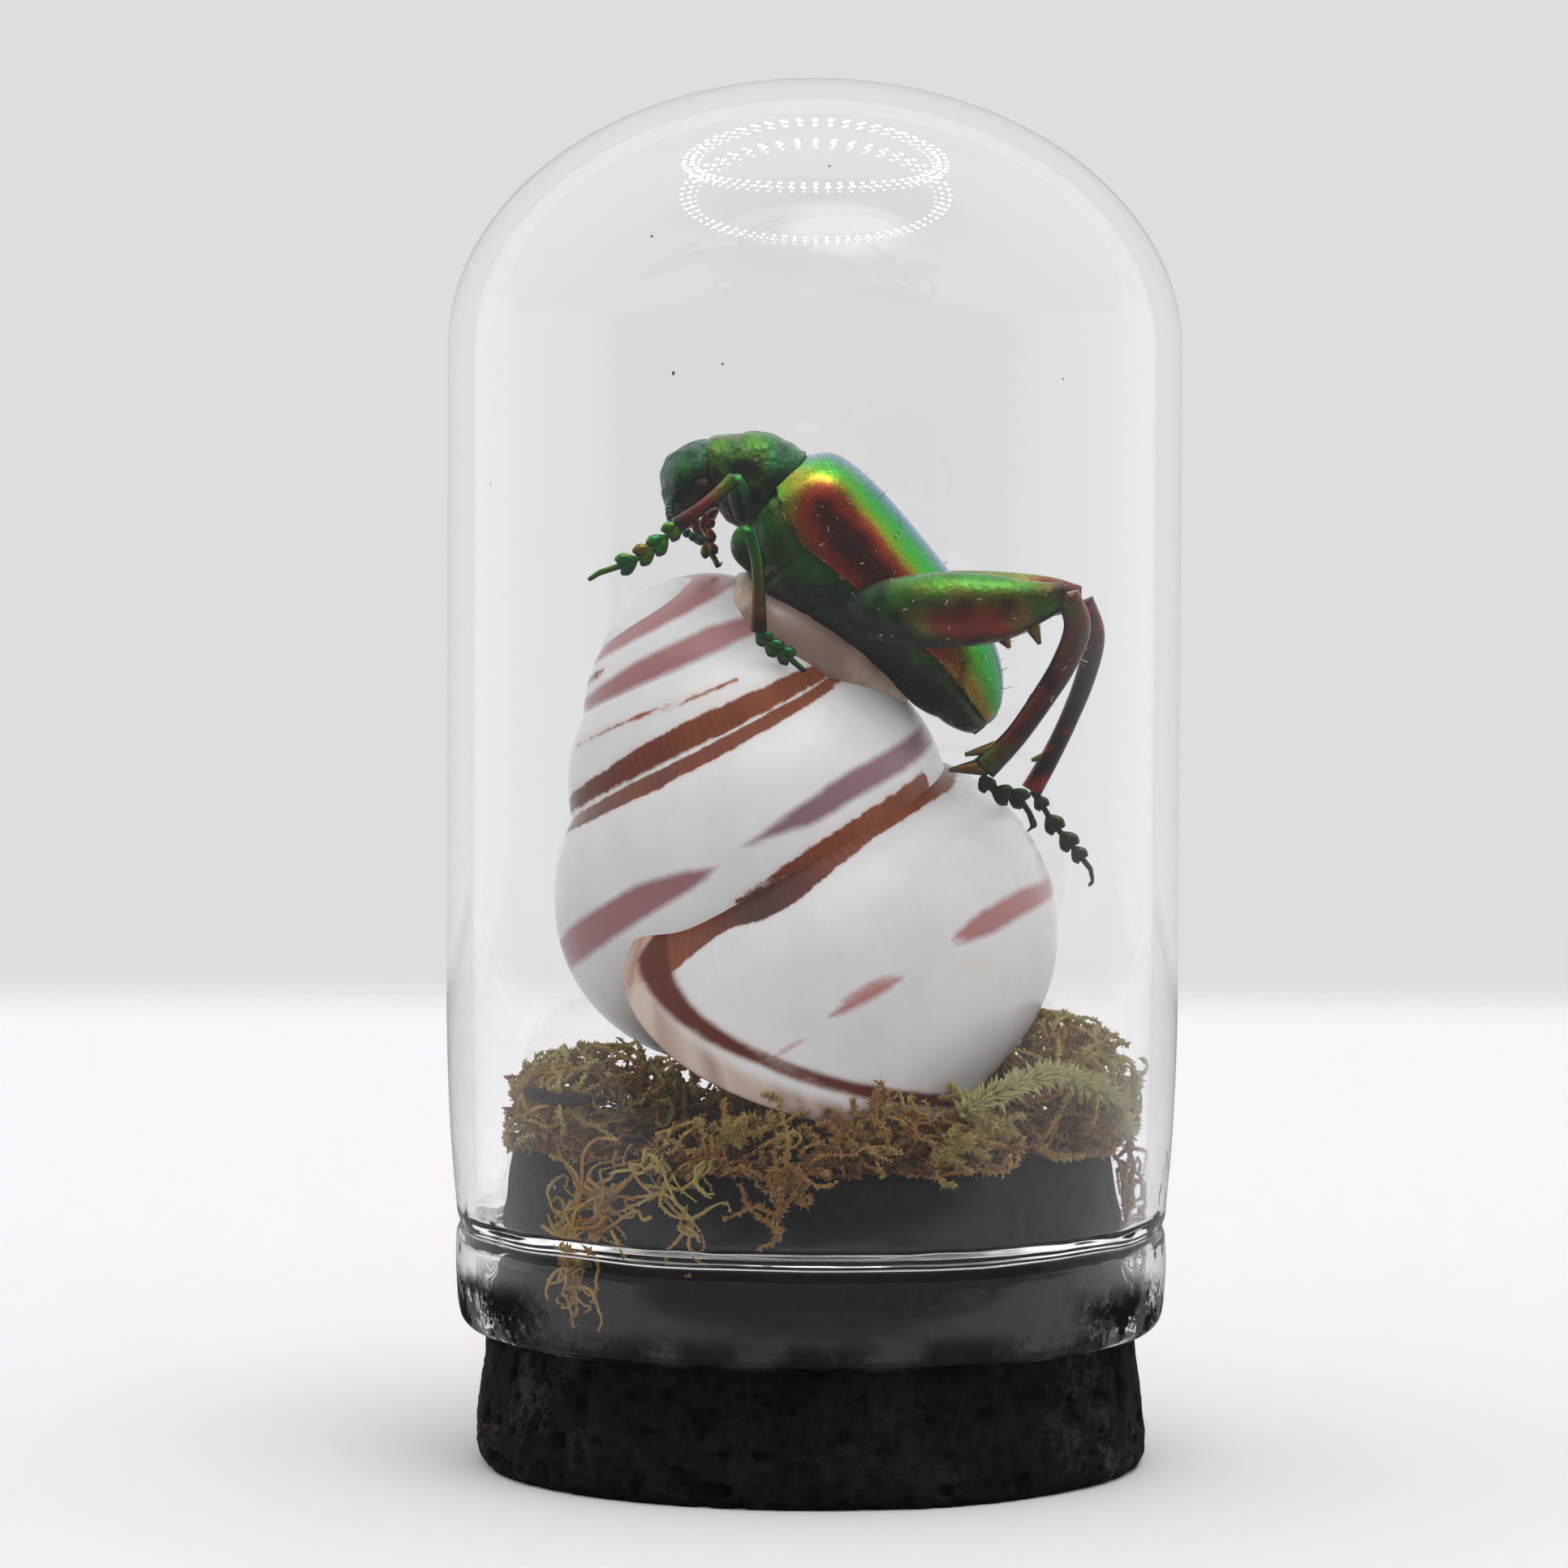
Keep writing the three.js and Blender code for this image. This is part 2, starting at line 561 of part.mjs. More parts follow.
// ---------------------------------------------------------------- glue under the beetle
function glueBead() {
  const stations = [
    [-3.9, 0, 45.4, 1.3], [-2.4, 0, 43.9, 2.3], [0.0, 0, 42.5, 2.4], [2.3, 0, 41.3, 2.0], [4.4, 0, 40.2, 0.9],
  ];
  return mainPiece(solid(limb(stations, { sides: 10, steps: 2, flat: 1.5 }))
    .subtract(shellClearance)
    .subtract(solid(trunk(GAP + 0.1))));
}

// ---------------------------------------------------------------- moss
// A lumpy cushion of moss with a flat underside on the cork.
function clump(centre, radii, phase, detail = 2) {
  const geometry = new THREE.IcosahedronGeometry(1, detail);
  const p = geometry.attributes.position;
  const point = V();
  for (let i = 0; i < p.count; i += 1) {
    point.fromBufferAttribute(p, i);
    const lump = 1 + 0.07 * Math.sin(5 * point.x + phase) * Math.sin(6 * point.y + 2 * phase)
      + 0.05 * Math.sin(9 * point.z + 7 * point.x + phase);
    p.setXYZ(i, point.x * lump * radii[0] + centre[0], point.y * lump * radii[1] + centre[1],
      point.z * lump * radii[2] + centre[2]);
  }
  const size = 60;
  const underCork = new THREE.BoxGeometry(size, size, size)
    .translate(0, 0, CORK.height + GAP - size / 2);
  return solid(geometry).subtract(solid(underCork)).subtract(shellClearance);
}

// A tuft that hangs between the cork and the glass, flattened against the wall.
// Stations [angle round the cork in degrees, radius, height, half-width, half-thickness].
function hangingTuft(stations) {
  const rings = stations.map(([angle, radius, z, width, thickness]) => {
    const out = V(Math.cos(rad(angle)), Math.sin(rad(angle)), 0);
    const across = V(-out.y, out.x, 0);
    return Array.from({ length: 6 }, (_, j) => {
      const turn = (2 * Math.PI * j) / 6;
      return V(0, 0, z)
        .addScaledVector(out, radius + thickness * Math.sin(turn))
        .addScaledVector(across, width * Math.cos(turn));
    });
  });
  return skin(rings);
}

const CLUMPS = {
  moss_left_clump: [[-11.0, -3.6, 18.6], [4.3, 6.4, 3.2], 0.4],
  moss_right_clump: [[12.3, -2.2, 19.4], [4.1, 6.6, 4.2], 1.7],
  moss_front_mat: [[0.3, -12.2, 17.6], [8.8, 3.6, 2.3], 2.9],
  moss_back_mat: [[0.4, 10.2, 18.2], [9.5, 4.6, 3.0], 4.1],
};

// A knob of the front mat that leans on the shell.
const FRONT_KNOB = [[5.9, -11.3, 19.6], [2.0, 2.0, 2.1], 1.1, 1];
const MOSS_ARCH = [
  [7.4, -13.0, 19.9, 0.4], [9.2, -12.4, 21.0, 0.7], [11.4, -10.9, 21.6, 0.9],
  [13.4, -9.2, 21.2, 0.9], [15.0, -7.6, 19.9, 0.7], [15.6, -6.6, 18.4, 0.4],
];
const TUFTS = {
  moss_left_tuft: [
    [227, 16.2, 18.2, 2.0, 0.5], [229, 16.5, 16.6, 3.0, 0.5], [230, 16.6, 15.0, 2.7, 0.4],
    [226, 16.6, 13.6, 1.5, 0.25], [224, 16.6, 12.4, 0.8, 0.2], [225, 16.85, 10.4, 0.5, 0.15],
    [225, 17.0, 9.2, 0.2, 0.12],
  ],
  moss_front_tuft: [
    [266, 16.2, 17.9, 0.7, 0.5], [265, 16.4, 16.6, 1.0, 0.5], [265, 16.5, 15.2, 0.7, 0.4],
    [265, 16.55, 14.2, 0.3, 0.2],
  ],
  moss_right_tuft: [
    [350, 16.5, 19.0, 1.0, 0.6], [350, 16.6, 16.8, 1.0, 0.5], [350, 16.65, 14.6, 0.7, 0.4],
    [350, 16.6, 12.4, 0.5, 0.2], [350, 16.85, 10.6, 0.3, 0.15],
  ],
};
const TWIG = [[-14.2, -7.4, 20.3, 0.25], [-12.8, -8.9, 20.1, 0.3], [-11.0, -9.9, 20.2, 0.2]];

const widened = (stations) => stations.map(([x, y, z, r]) => [x, y, z, r + GAP]);
const widenedTuft = (stations) => stations.map(([angle, radius, z, width, thickness], i) => (
  [angle, radius, z + (i === 0 ? GAP : 0), width + GAP, thickness + GAP]));

function mossClumps() {
  const keptClear = [
    solid(limb(widened(MOSS_ARCH), { sides: 6, steps: 1 })),
    solid(limb(widened(TWIG), { sides: 5, steps: 1 })),
    ...Object.values(TUFTS).map((stations) => solid(hangingTuft(widenedTuft(stations)))),
  ];
  const placed = [];
  for (const [name, [centre, radii, phase]] of Object.entries(CLUMPS)) {
    const whole = name === 'moss_front_mat'
      ? clump(centre, radii, phase).add(clump(...FRONT_KNOB)) : clump(centre, radii, phase);
    const shape = keptClear.reduce((rest, next) => rest.subtract(next), whole);
    placed.push([name, mainPiece(shape)]);
    keptClear.push(clump(centre, radii.map((r) => r + GAP), phase));
  }
  return placed;
}

// ---------------------------------------------------------------- assembly
add('glass_dome', glassDome(), CLEAR_GLASS);
add('cork_stopper', corkStopper(), BLACK_CORK);
add('snail_shell', snailShell, PORCELAIN_SHELL);
add('glue_bead', glueBead(), DRIED_GLUE);
for (const [name, shape] of mossClumps()) add(name, shape, DRY_MOSS);
add('moss_arch', limb(MOSS_ARCH, { sides: 6, steps: 1 }), DRY_MOSS);
for (const [name, stations] of Object.entries(TUFTS)) add(name, hangingTuft(stations), DRY_MOSS);
add('dark_twig', limb(TWIG, { sides: 5, steps: 1 }), DARK_TWIG);
add('beetle_body', mainPiece(solid(trunk()).subtract(shellClearance)), OLIVE_BODY);
add('beetle_elytron_left', elytron(-1), GREEN_ELYTRON);
add('beetle_elytron_right', elytron(1), GREEN_ELYTRON);
add('beetle_pronotum', solid(foreBody(PRONOTUM_STATIONS)).subtract(trunkClearance), OLIVE_BODY);
add('beetle_head', cutBack(head()), DARK_HEAD);
add('beetle_antenna_left', cutBack(solid(antenna(-1))), DARK_HEAD);
add('beetle_antenna_right', cutBack(solid(antenna(1))), DARK_HEAD);
for (const [name, shape] of Object.entries(LEGS)) {
  add(`beetle_${name}_leg`, cutBack(leg(shape)), COPPER_LEG);
}

export default group;
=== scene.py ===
"""A metallic leaf beetle on a banded snail shell, under a small clear glass dome.

The shell is bedded in dried moss on a black cork stopper. Every size is in millimetres and
becomes metres where a mesh is made. +Z is up and the front looks towards -Y.
"""
import logging
import math
from dataclasses import dataclass, field
from enum import Enum

import bpy
import numpy as np
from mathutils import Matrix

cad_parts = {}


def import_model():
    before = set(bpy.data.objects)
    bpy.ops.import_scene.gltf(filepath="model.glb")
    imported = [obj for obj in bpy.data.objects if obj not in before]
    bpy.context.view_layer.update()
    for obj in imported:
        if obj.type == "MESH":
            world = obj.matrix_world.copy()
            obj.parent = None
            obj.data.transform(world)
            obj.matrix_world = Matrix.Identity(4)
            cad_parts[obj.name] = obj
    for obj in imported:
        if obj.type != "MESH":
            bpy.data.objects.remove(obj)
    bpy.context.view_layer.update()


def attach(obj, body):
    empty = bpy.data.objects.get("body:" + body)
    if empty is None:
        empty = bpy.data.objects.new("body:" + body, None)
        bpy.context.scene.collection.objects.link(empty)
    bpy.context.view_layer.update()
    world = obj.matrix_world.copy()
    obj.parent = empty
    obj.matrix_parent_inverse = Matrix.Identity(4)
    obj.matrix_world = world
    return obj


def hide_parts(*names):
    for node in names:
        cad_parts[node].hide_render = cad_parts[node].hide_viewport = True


Array = np.ndarray
Vec = tuple[float, float, float]
MM = 0.001
FULL_TURN = 2 * math.pi
log = logging.getLogger("insect_dome")


# ------------------------------------------------------------------ curves and noise
def unit(vectors: Array) -> Array:
    """Scales each vector to length one.

    Args:
        vectors: Any number of 3-D vectors in the last axis.

    Returns:
        The unit vectors.
    """
    length = np.linalg.norm(vectors, axis=-1, keepdims=True)
    return vectors / np.maximum(length, 1e-9)


def smooth_rows(rows: Array, count: int) -> Array:
    """Carries a smooth curve through rows of numbers.

    Each span is the Catmull-Rom cubic, half of (2b + (c-a)f + (2a-5b+4c-d)ff + (3b-a-3c+d)fff),
    where b and c are the rows at the span's ends, a and d their neighbours and f runs 0 to 1.

    Args:
        rows: One station per row.
        count: How many even steps to give back.

    Returns:
        An array of count rows.
    """
    rows = np.asarray(rows, float)
    last = len(rows) - 1
    at = np.linspace(0, last, count)
    span = np.minimum(at.astype(int), last - 1)
    f = (at - span)[:, None]
    padded = np.vstack([2 * rows[0] - rows[1], rows, 2 * rows[-1] - rows[-2]])
    a, b, c, d = (padded[span + k] for k in range(4))
    return 0.5 * (2 * b + (c - a) * f + (2 * a - 5 * b + 4 * c - d) * f**2 + (3 * b - a - 3 * c + d) * f**3)


def smooth_step(low: float, high: float, values: Array) -> Array:
    """Runs from 0 at low to 1 at high as 3xx - 2xxx, flat at both ends.

    Args:
        low: Where the step starts.
        high: Where it ends; it may be below low.
        values: Where the step is read.

    Returns:
        Values from 0 to 1.
    """
    x = np.clip((np.asarray(values, float) - low) / (high - low), 0, 1)
    return x * x * (3 - 2 * x)


def lattice_noise(points: Array, cell: float, seed: int = 0) -> Array:
    """Gives smooth random values between -1 and 1.

    Every corner of a cubic lattice has a value from the fraction of a large sine, and the
    eight corners round a point are blended with 3xx - 2xxx weights.

    Args:
        points: Places, in millimetres, in the last axis.
        cell: Lattice spacing in millimetres.
        seed: Another seed gives another pattern.

    Returns:
        One value a point.
    """
    scaled = points / cell
    base = np.floor(scaled)
    rest = scaled - base
    weight = rest * rest * (3 - 2 * rest)
    total = np.zeros(points.shape[:-1])
    for corner in np.ndindex(2, 2, 2):
        hashed = np.sin((base + corner) @ np.array([127.1, 311.7, 74.7]) + 17.3 * seed) * 43758.5453
        share = np.prod(np.where(np.array(corner, bool), weight, 1 - weight), axis=-1)
        total += (2 * (hashed - np.floor(hashed)) - 1) * share
    return total


# ------------------------------------------------------------------ surfaces
@dataclass
class Surface:
    """Points, faces and per-point values of one piece, in millimetres."""

    points: Array
    quads: Array = field(default_factory=lambda: np.zeros((0, 4), int))
    triangles: Array = field(default_factory=lambda: np.zeros((0, 3), int))
    values: dict[str, Array] = field(default_factory=dict)

    @staticmethod
    def from_grid(points: Array, around: bool = True, capped: bool = True,
        values: dict[str, Array] | None = None) -> "Surface":
        """Makes a surface of a grid of points.

        Args:
            points: Rows of points, rows x columns x 3.
            around: Whether the last column joins the first.
            capped: Whether each end row is closed by a fan to its middle.
            values: Per-point values, rows x columns.

        Returns:
            The surface, turned so that a closed one faces outwards.
        """
        rows, columns = points.shape[:2]
        index = np.arange(rows * columns).reshape(rows, columns)
        across = np.roll(index, -1, axis=1) if around else index[:, 1:]
        here = index if around else index[:, :-1]
        quads = np.stack([here[:-1], across[:-1], across[1:], here[1:]], axis=-1).reshape(-1, 4)
        flat = points.reshape(-1, 3)
        flat_values = {k: np.asarray(v, float).ravel() for k, v in (values or {}).items()}
        triangles = np.zeros((0, 3), int)
        if capped:
            hubs = points[[0, -1]].mean(axis=1)
            first, last = index[0], index[-1]
            hub = rows * columns
            start = np.stack([np.full(columns, hub), np.roll(first, -1), first], axis=-1)
            end = np.stack([np.full(columns, hub + 1), last, np.roll(last, -1)], axis=-1)
            triangles = np.vstack([start, end])
            flat = np.vstack([flat, hubs])
            flat_values = {k: np.append(v, v.reshape(rows, columns)[[0, -1]].mean(axis=1))
                for k, v in flat_values.items()}
        made = Surface(flat, quads, triangles, flat_values)
        return made.facing_out() if capped else made

    def enclosed(self) -> float:
        """Returns six times the volume inside, as the sum of the corners' triple products."""
        split = np.vstack([self.quads[:, [0, 1, 2]], self.quads[:, [0, 2, 3]], self.triangles])
        a, b, c = (self.points[split[:, k]] for k in range(3))
        return float(np.einsum("ij,ij->", a, np.cross(b, c)))

    def flipped(self) -> "Surface":
        """Returns the same surface seen from the other side."""
        return Surface(self.points, self.quads[:, ::-1], self.triangles[:, ::-1], self.values)

    def facing_out(self) -> "Surface":
        """Returns the surface with its faces pointing out, which a closed one can tell."""
        return self.flipped() if self.enclosed() < 0 else self

    def upness(self) -> Array:
        """Tells how far each point's normal points up, from -1 to 1, from its faces' areas."""
        total = np.zeros_like(self.points)
        for faces in (self.quads, self.triangles):
            if len(faces):
                corner = self.points[faces]
                normal = np.cross(corner[:, 2] - corner[:, 0], corner[:, -1] - corner[:, 1])
                for k in range(faces.shape[1]):
                    np.add.at(total, faces[:, k], normal)
        return unit(total)[:, 2]

    @staticmethod
    def joined(parts: list["Surface"]) -> "Surface":
        """Puts several surfaces into one.

        Args:
            parts: The surfaces. A value that one of them lacks is 0 there.

        Returns:
            The surfaces as one.
        """
        offsets = np.cumsum([0] + [len(part.points) for part in parts[:-1]])
        names = sorted({name for part in parts for name in part.values})
        return Surface(np.vstack([part.points for part in parts]),
            np.vstack([part.quads + shift for part, shift in zip(parts, offsets)]),
            np.vstack([part.triangles + shift for part, shift in zip(parts, offsets)]),
            {name: np.concatenate([part.values.get(name, np.zeros(len(part.points))) for part in parts])
                for name in names})

    def build(self, name: str, material: bpy.types.Material, slot: str,
        replaces: tuple[str, ...] = ()) -> bpy.types.Object:
        """Args:
            name: The piece's name.
            material: What it is made of.
            slot: The record's material slot; not used.
            replaces: The CAD nodes that it stands for.

        Returns:
            The object, with its place in its mesh.
        """
        mesh = bpy.data.meshes.new(name)
        loops = np.concatenate([self.quads.ravel(), self.triangles.ravel()])
        sizes = np.concatenate([np.full(len(self.quads), 4), np.full(len(self.triangles), 3)])
        mesh.vertices.add(len(self.points))
        mesh.vertices.foreach_set("co", (self.points * MM).astype(np.float32).ravel())
        mesh.loops.add(len(loops))
        mesh.loops.foreach_set("vertex_index", loops.astype(np.int32))
        mesh.polygons.add(len(sizes))
        mesh.polygons.foreach_set("loop_start", (np.cumsum(sizes) - sizes).astype(np.int32))
        mesh.polygons.foreach_set("use_smooth", np.ones(len(sizes), bool))
        for key, value in self.values.items():
            layer = mesh.attributes.new(key, "FLOAT", "POINT")
            layer.data.foreach_set("value", value.astype(np.float32))
        mesh.update(calc_edges=True)
        mesh.validate()
        mesh.materials.append(material)
        piece = bpy.data.objects.new(name, mesh)
        bpy.context.scene.collection.objects.link(piece)
        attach(piece, "root")
        if replaces:
            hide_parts(*replaces)
        log.info("%s: %d points, %d faces", name, len(self.points), len(sizes))
        return piece


def lathe(profile: Array, segments: int) -> Surface:
    """Turns a closed profile about the vertical axis.

    A profile point of radius r and height z goes to (r cos u, r sin u, z) for each angle u.

    Args:
        profile: Closed rows of radius and height, in order, without the first one repeated.
        segments: How many steps the turn has.

    Returns:
        The closed ring.
    """
    turn = np.linspace(0, FULL_TURN, segments, endpoint=False)[:, None]
    r, z = profile[None, :, 0], profile[None, :, 1]
    grid = np.stack([r * np.cos(turn), r * np.sin(turn), z + 0 * turn], axis=-1)
    ring = Surface.from_grid(np.concatenate([grid, grid[:1]]), around=True, capped=False)
    return weld(ring).facing_out()


def weld(surface: Surface, tolerance: float = 1e-4) -> Surface:
    """Joins points that lie on each other and drops the faces that vanish.

    Args:
        surface: The surface to mend.
        tolerance: How near counts as the same place, in millimetres.

    Returns:
        The surface with shared points.
    """
    keys = np.round(surface.points / tolerance).astype(np.int64)
    _, first, back = np.unique(keys, axis=0, return_index=True, return_inverse=True)
    back = back.ravel()
    quads, triangles = back[surface.quads], back[surface.triangles]
    split = np.vstack([quads[:, [0, 1, 2]], quads[:, [0, 2, 3]]])
    pinched = (np.diff(np.sort(quads, axis=1), axis=1) == 0).any(axis=1)
    halves = split.reshape(2, -1, 3)[:, pinched].reshape(-1, 3)
    triangles = np.vstack([triangles, halves])
    kept = (np.diff(np.sort(triangles, axis=1), axis=1) != 0).all(axis=1)
    return Surface(surface.points[first], quads[~pinched], triangles[kept],
        {k: v[first] for k, v in surface.values.items()})


def tubes(paths: Array, radii: Array, sides: int = 6, flat: float = 1.0,
    across: Vec = (0.0, 1.0, 0.0)) -> Surface:
    """Carries a ring along each of several paths at once.

    At each path point the ring's points are c + r (f s cos u + b sin u), where s is the part
    of the across direction square to the path, b is square to both, and f is the flatness.

    Args:
        paths: Path points, tubes x stations x 3.
        radii: Ring radii, tubes x stations.
        sides: Points round the ring.
        flat: How far the ring is squeezed along the across direction.
        across: The direction that the ring is set by.

    Returns:
        The closed tubes as one surface, with the share along each as the value "along".
    """
    count, stations = paths.shape[:2]
    tangent = unit(np.gradient(paths, axis=1))
    guide = np.broadcast_to(np.array(across, float), tangent.shape)
    side = unit(guide - (guide * tangent).sum(-1, keepdims=True) * tangent)
    up = np.cross(tangent, side)
    turn = np.linspace(0, FULL_TURN, sides, endpoint=False)
    ring = (flat * np.cos(turn)[:, None] * side[:, :, None] + np.sin(turn)[:, None] * up[:, :, None])
    points = paths[:, :, None] + radii[:, :, None, None] * ring
    index = np.arange(count * stations * sides).reshape(count, stations, sides)
    beside = np.roll(index, -1, axis=2)
    quads = np.stack([index[:, :-1], beside[:, :-1], beside[:, 1:], index[:, 1:]], axis=-1)
    fan = np.array([[0, k + 2, k + 1] for k in range(sides - 2)])
    caps = np.concatenate([index[:, 0][:, fan], index[:, -1][:, fan[:, ::-1]]], axis=1)
    along = np.broadcast_to(np.linspace(0, 1, stations)[None, :, None], points.shape[:3])
    made = Surface(points.reshape(-1, 3), quads.reshape(-1, 4), caps.reshape(-1, 3),
        {"along": along.ravel().copy()})
    return made.facing_out()


def limb(stations: list[tuple[float, ...]], count: int, sides: int, flat: float = 1.0) -> Surface:
    """Makes one smooth limb through stations.

    Args:
        stations: Rows of x, y, z and radius.
        count: Rings along the limb.
        sides: Points round each ring.
        flat: How far its section is squeezed sideways.

    Returns:
        The closed limb.
    """
    smooth = smooth_rows(np.array(stations, float), count)
    return tubes(smooth[None, :, :3], np.maximum(smooth[None, :, 3], 0.02), sides, flat)


def ball(centre: Vec, radii: Vec, around: int = 16, down: int = 10) -> Surface:
    """Makes an ellipsoid: centre + radii * (sin v cos u, sin v sin u, cos v).

    Args:
        centre: Its middle.
        radii: Its three half-sizes.
        around: Points round it.
        down: Rows from pole to pole.

    Returns:
        The closed ellipsoid.
    """
    u = np.linspace(0, FULL_TURN, around, endpoint=False)[None, :]
    v = np.linspace(0.02, math.pi - 0.02, down)[:, None]
    shape = np.stack([np.sin(v) * np.cos(u), np.sin(v) * np.sin(u), np.cos(v) + 0 * u], axis=-1)
    return Surface.from_grid(np.array(centre) + np.array(radii) * shape)


# ------------------------------------------------------------------ finishes
def linear(code: str) -> tuple[float, float, float, float]:
    """Turns an sRGB hex value into the linear colour that shaders use.

    Args:
        code: Such as "#8a6f2c".

    Returns:
        Red, green, blue and 1.
    """
    shares = [int(code[k:k + 2], 16) / 255 for k in (1, 3, 5)]
    turned = [c / 12.92 if c <= 0.04045 else ((c + 0.055) / 1.055) ** 2.4 for c in shares]
    return (turned[0], turned[1], turned[2], 1.0)


def blank_material(name: str) -> tuple[bpy.types.Material, bpy.types.NodeTree]:
    """Makes a material with an empty node tree.

    Args:
        name: The material's name.

    Returns:
        The material and its tree.
    """
    material = bpy.data.materials.new(name)
    material.use_nodes = True
    material.node_tree.nodes.clear()
    return material, material.node_tree


def add(tree: bpy.types.NodeTree, kind: str, joins: dict | None = None,
    stops: list[tuple[float, str]] | None = None, **settings: object) -> bpy.types.Node:
    """Adds a shader node with its settings and its links.

    Args:
        tree: The material's node tree.
        kind: The node's Blender type, without its leading ShaderNode.
        joins: Input name or number to a value, to an output socket, or to a node whose
            first output feeds it.
        stops: Positions and colours, for a colour ramp.
        settings: Properties of the node.

    Returns:
        The new node.
    """
    node = tree.nodes.new("ShaderNode" + kind)
    for name, value in settings.items():
        setattr(node, name, value)
    for key, value in (joins or {}).items():
        if isinstance(value, bpy.types.Node):
            value = value.outputs[0]
        if isinstance(value, bpy.types.NodeSocket):
            tree.links.new(value, node.inputs[key])
        else:
            node.inputs[key].default_value = value
    if stops:
        elements = node.color_ramp.elements
        while len(elements) < len(stops):
            elements.new(0.5)
        for element, (position, code) in zip(elements, stops):
            element.position = position
            element.color = linear(code)
    return node


# ------------------------------------------------------------------ snail shell
@dataclass(frozen=True)
class Band:
    """A coloured band that follows the whorls.

    Stations are turns before the lip, place between the two sutures (0 to 1), half-width in
    millimetres and tint. Past its ends the band is not there.
    """

    stations: tuple[tuple[float, float, float, float], ...]

    def reach(self, turns: Array, place: Array, spacing: Array) -> tuple[Array, Array]:
        """Measures how far inside the band each point is.

        Args:
            turns: Turns at each point.
            place: Place between the sutures.
            spacing: Millimetres from suture to suture.

        Returns:
            Millimetres inside the band's edge (negative outside), and the tint.
        """
        table = np.array(sorted(self.stations))
        centre, half, tint = (np.interp(turns, table[:, 0], table[:, k]) for k in (1, 2, 3))
        beyond = np.maximum(table[0, 0] - turns, turns - table[-1, 0]).clip(0) * 60
        return half - np.abs(place - centre) * spacing - beyond, tint


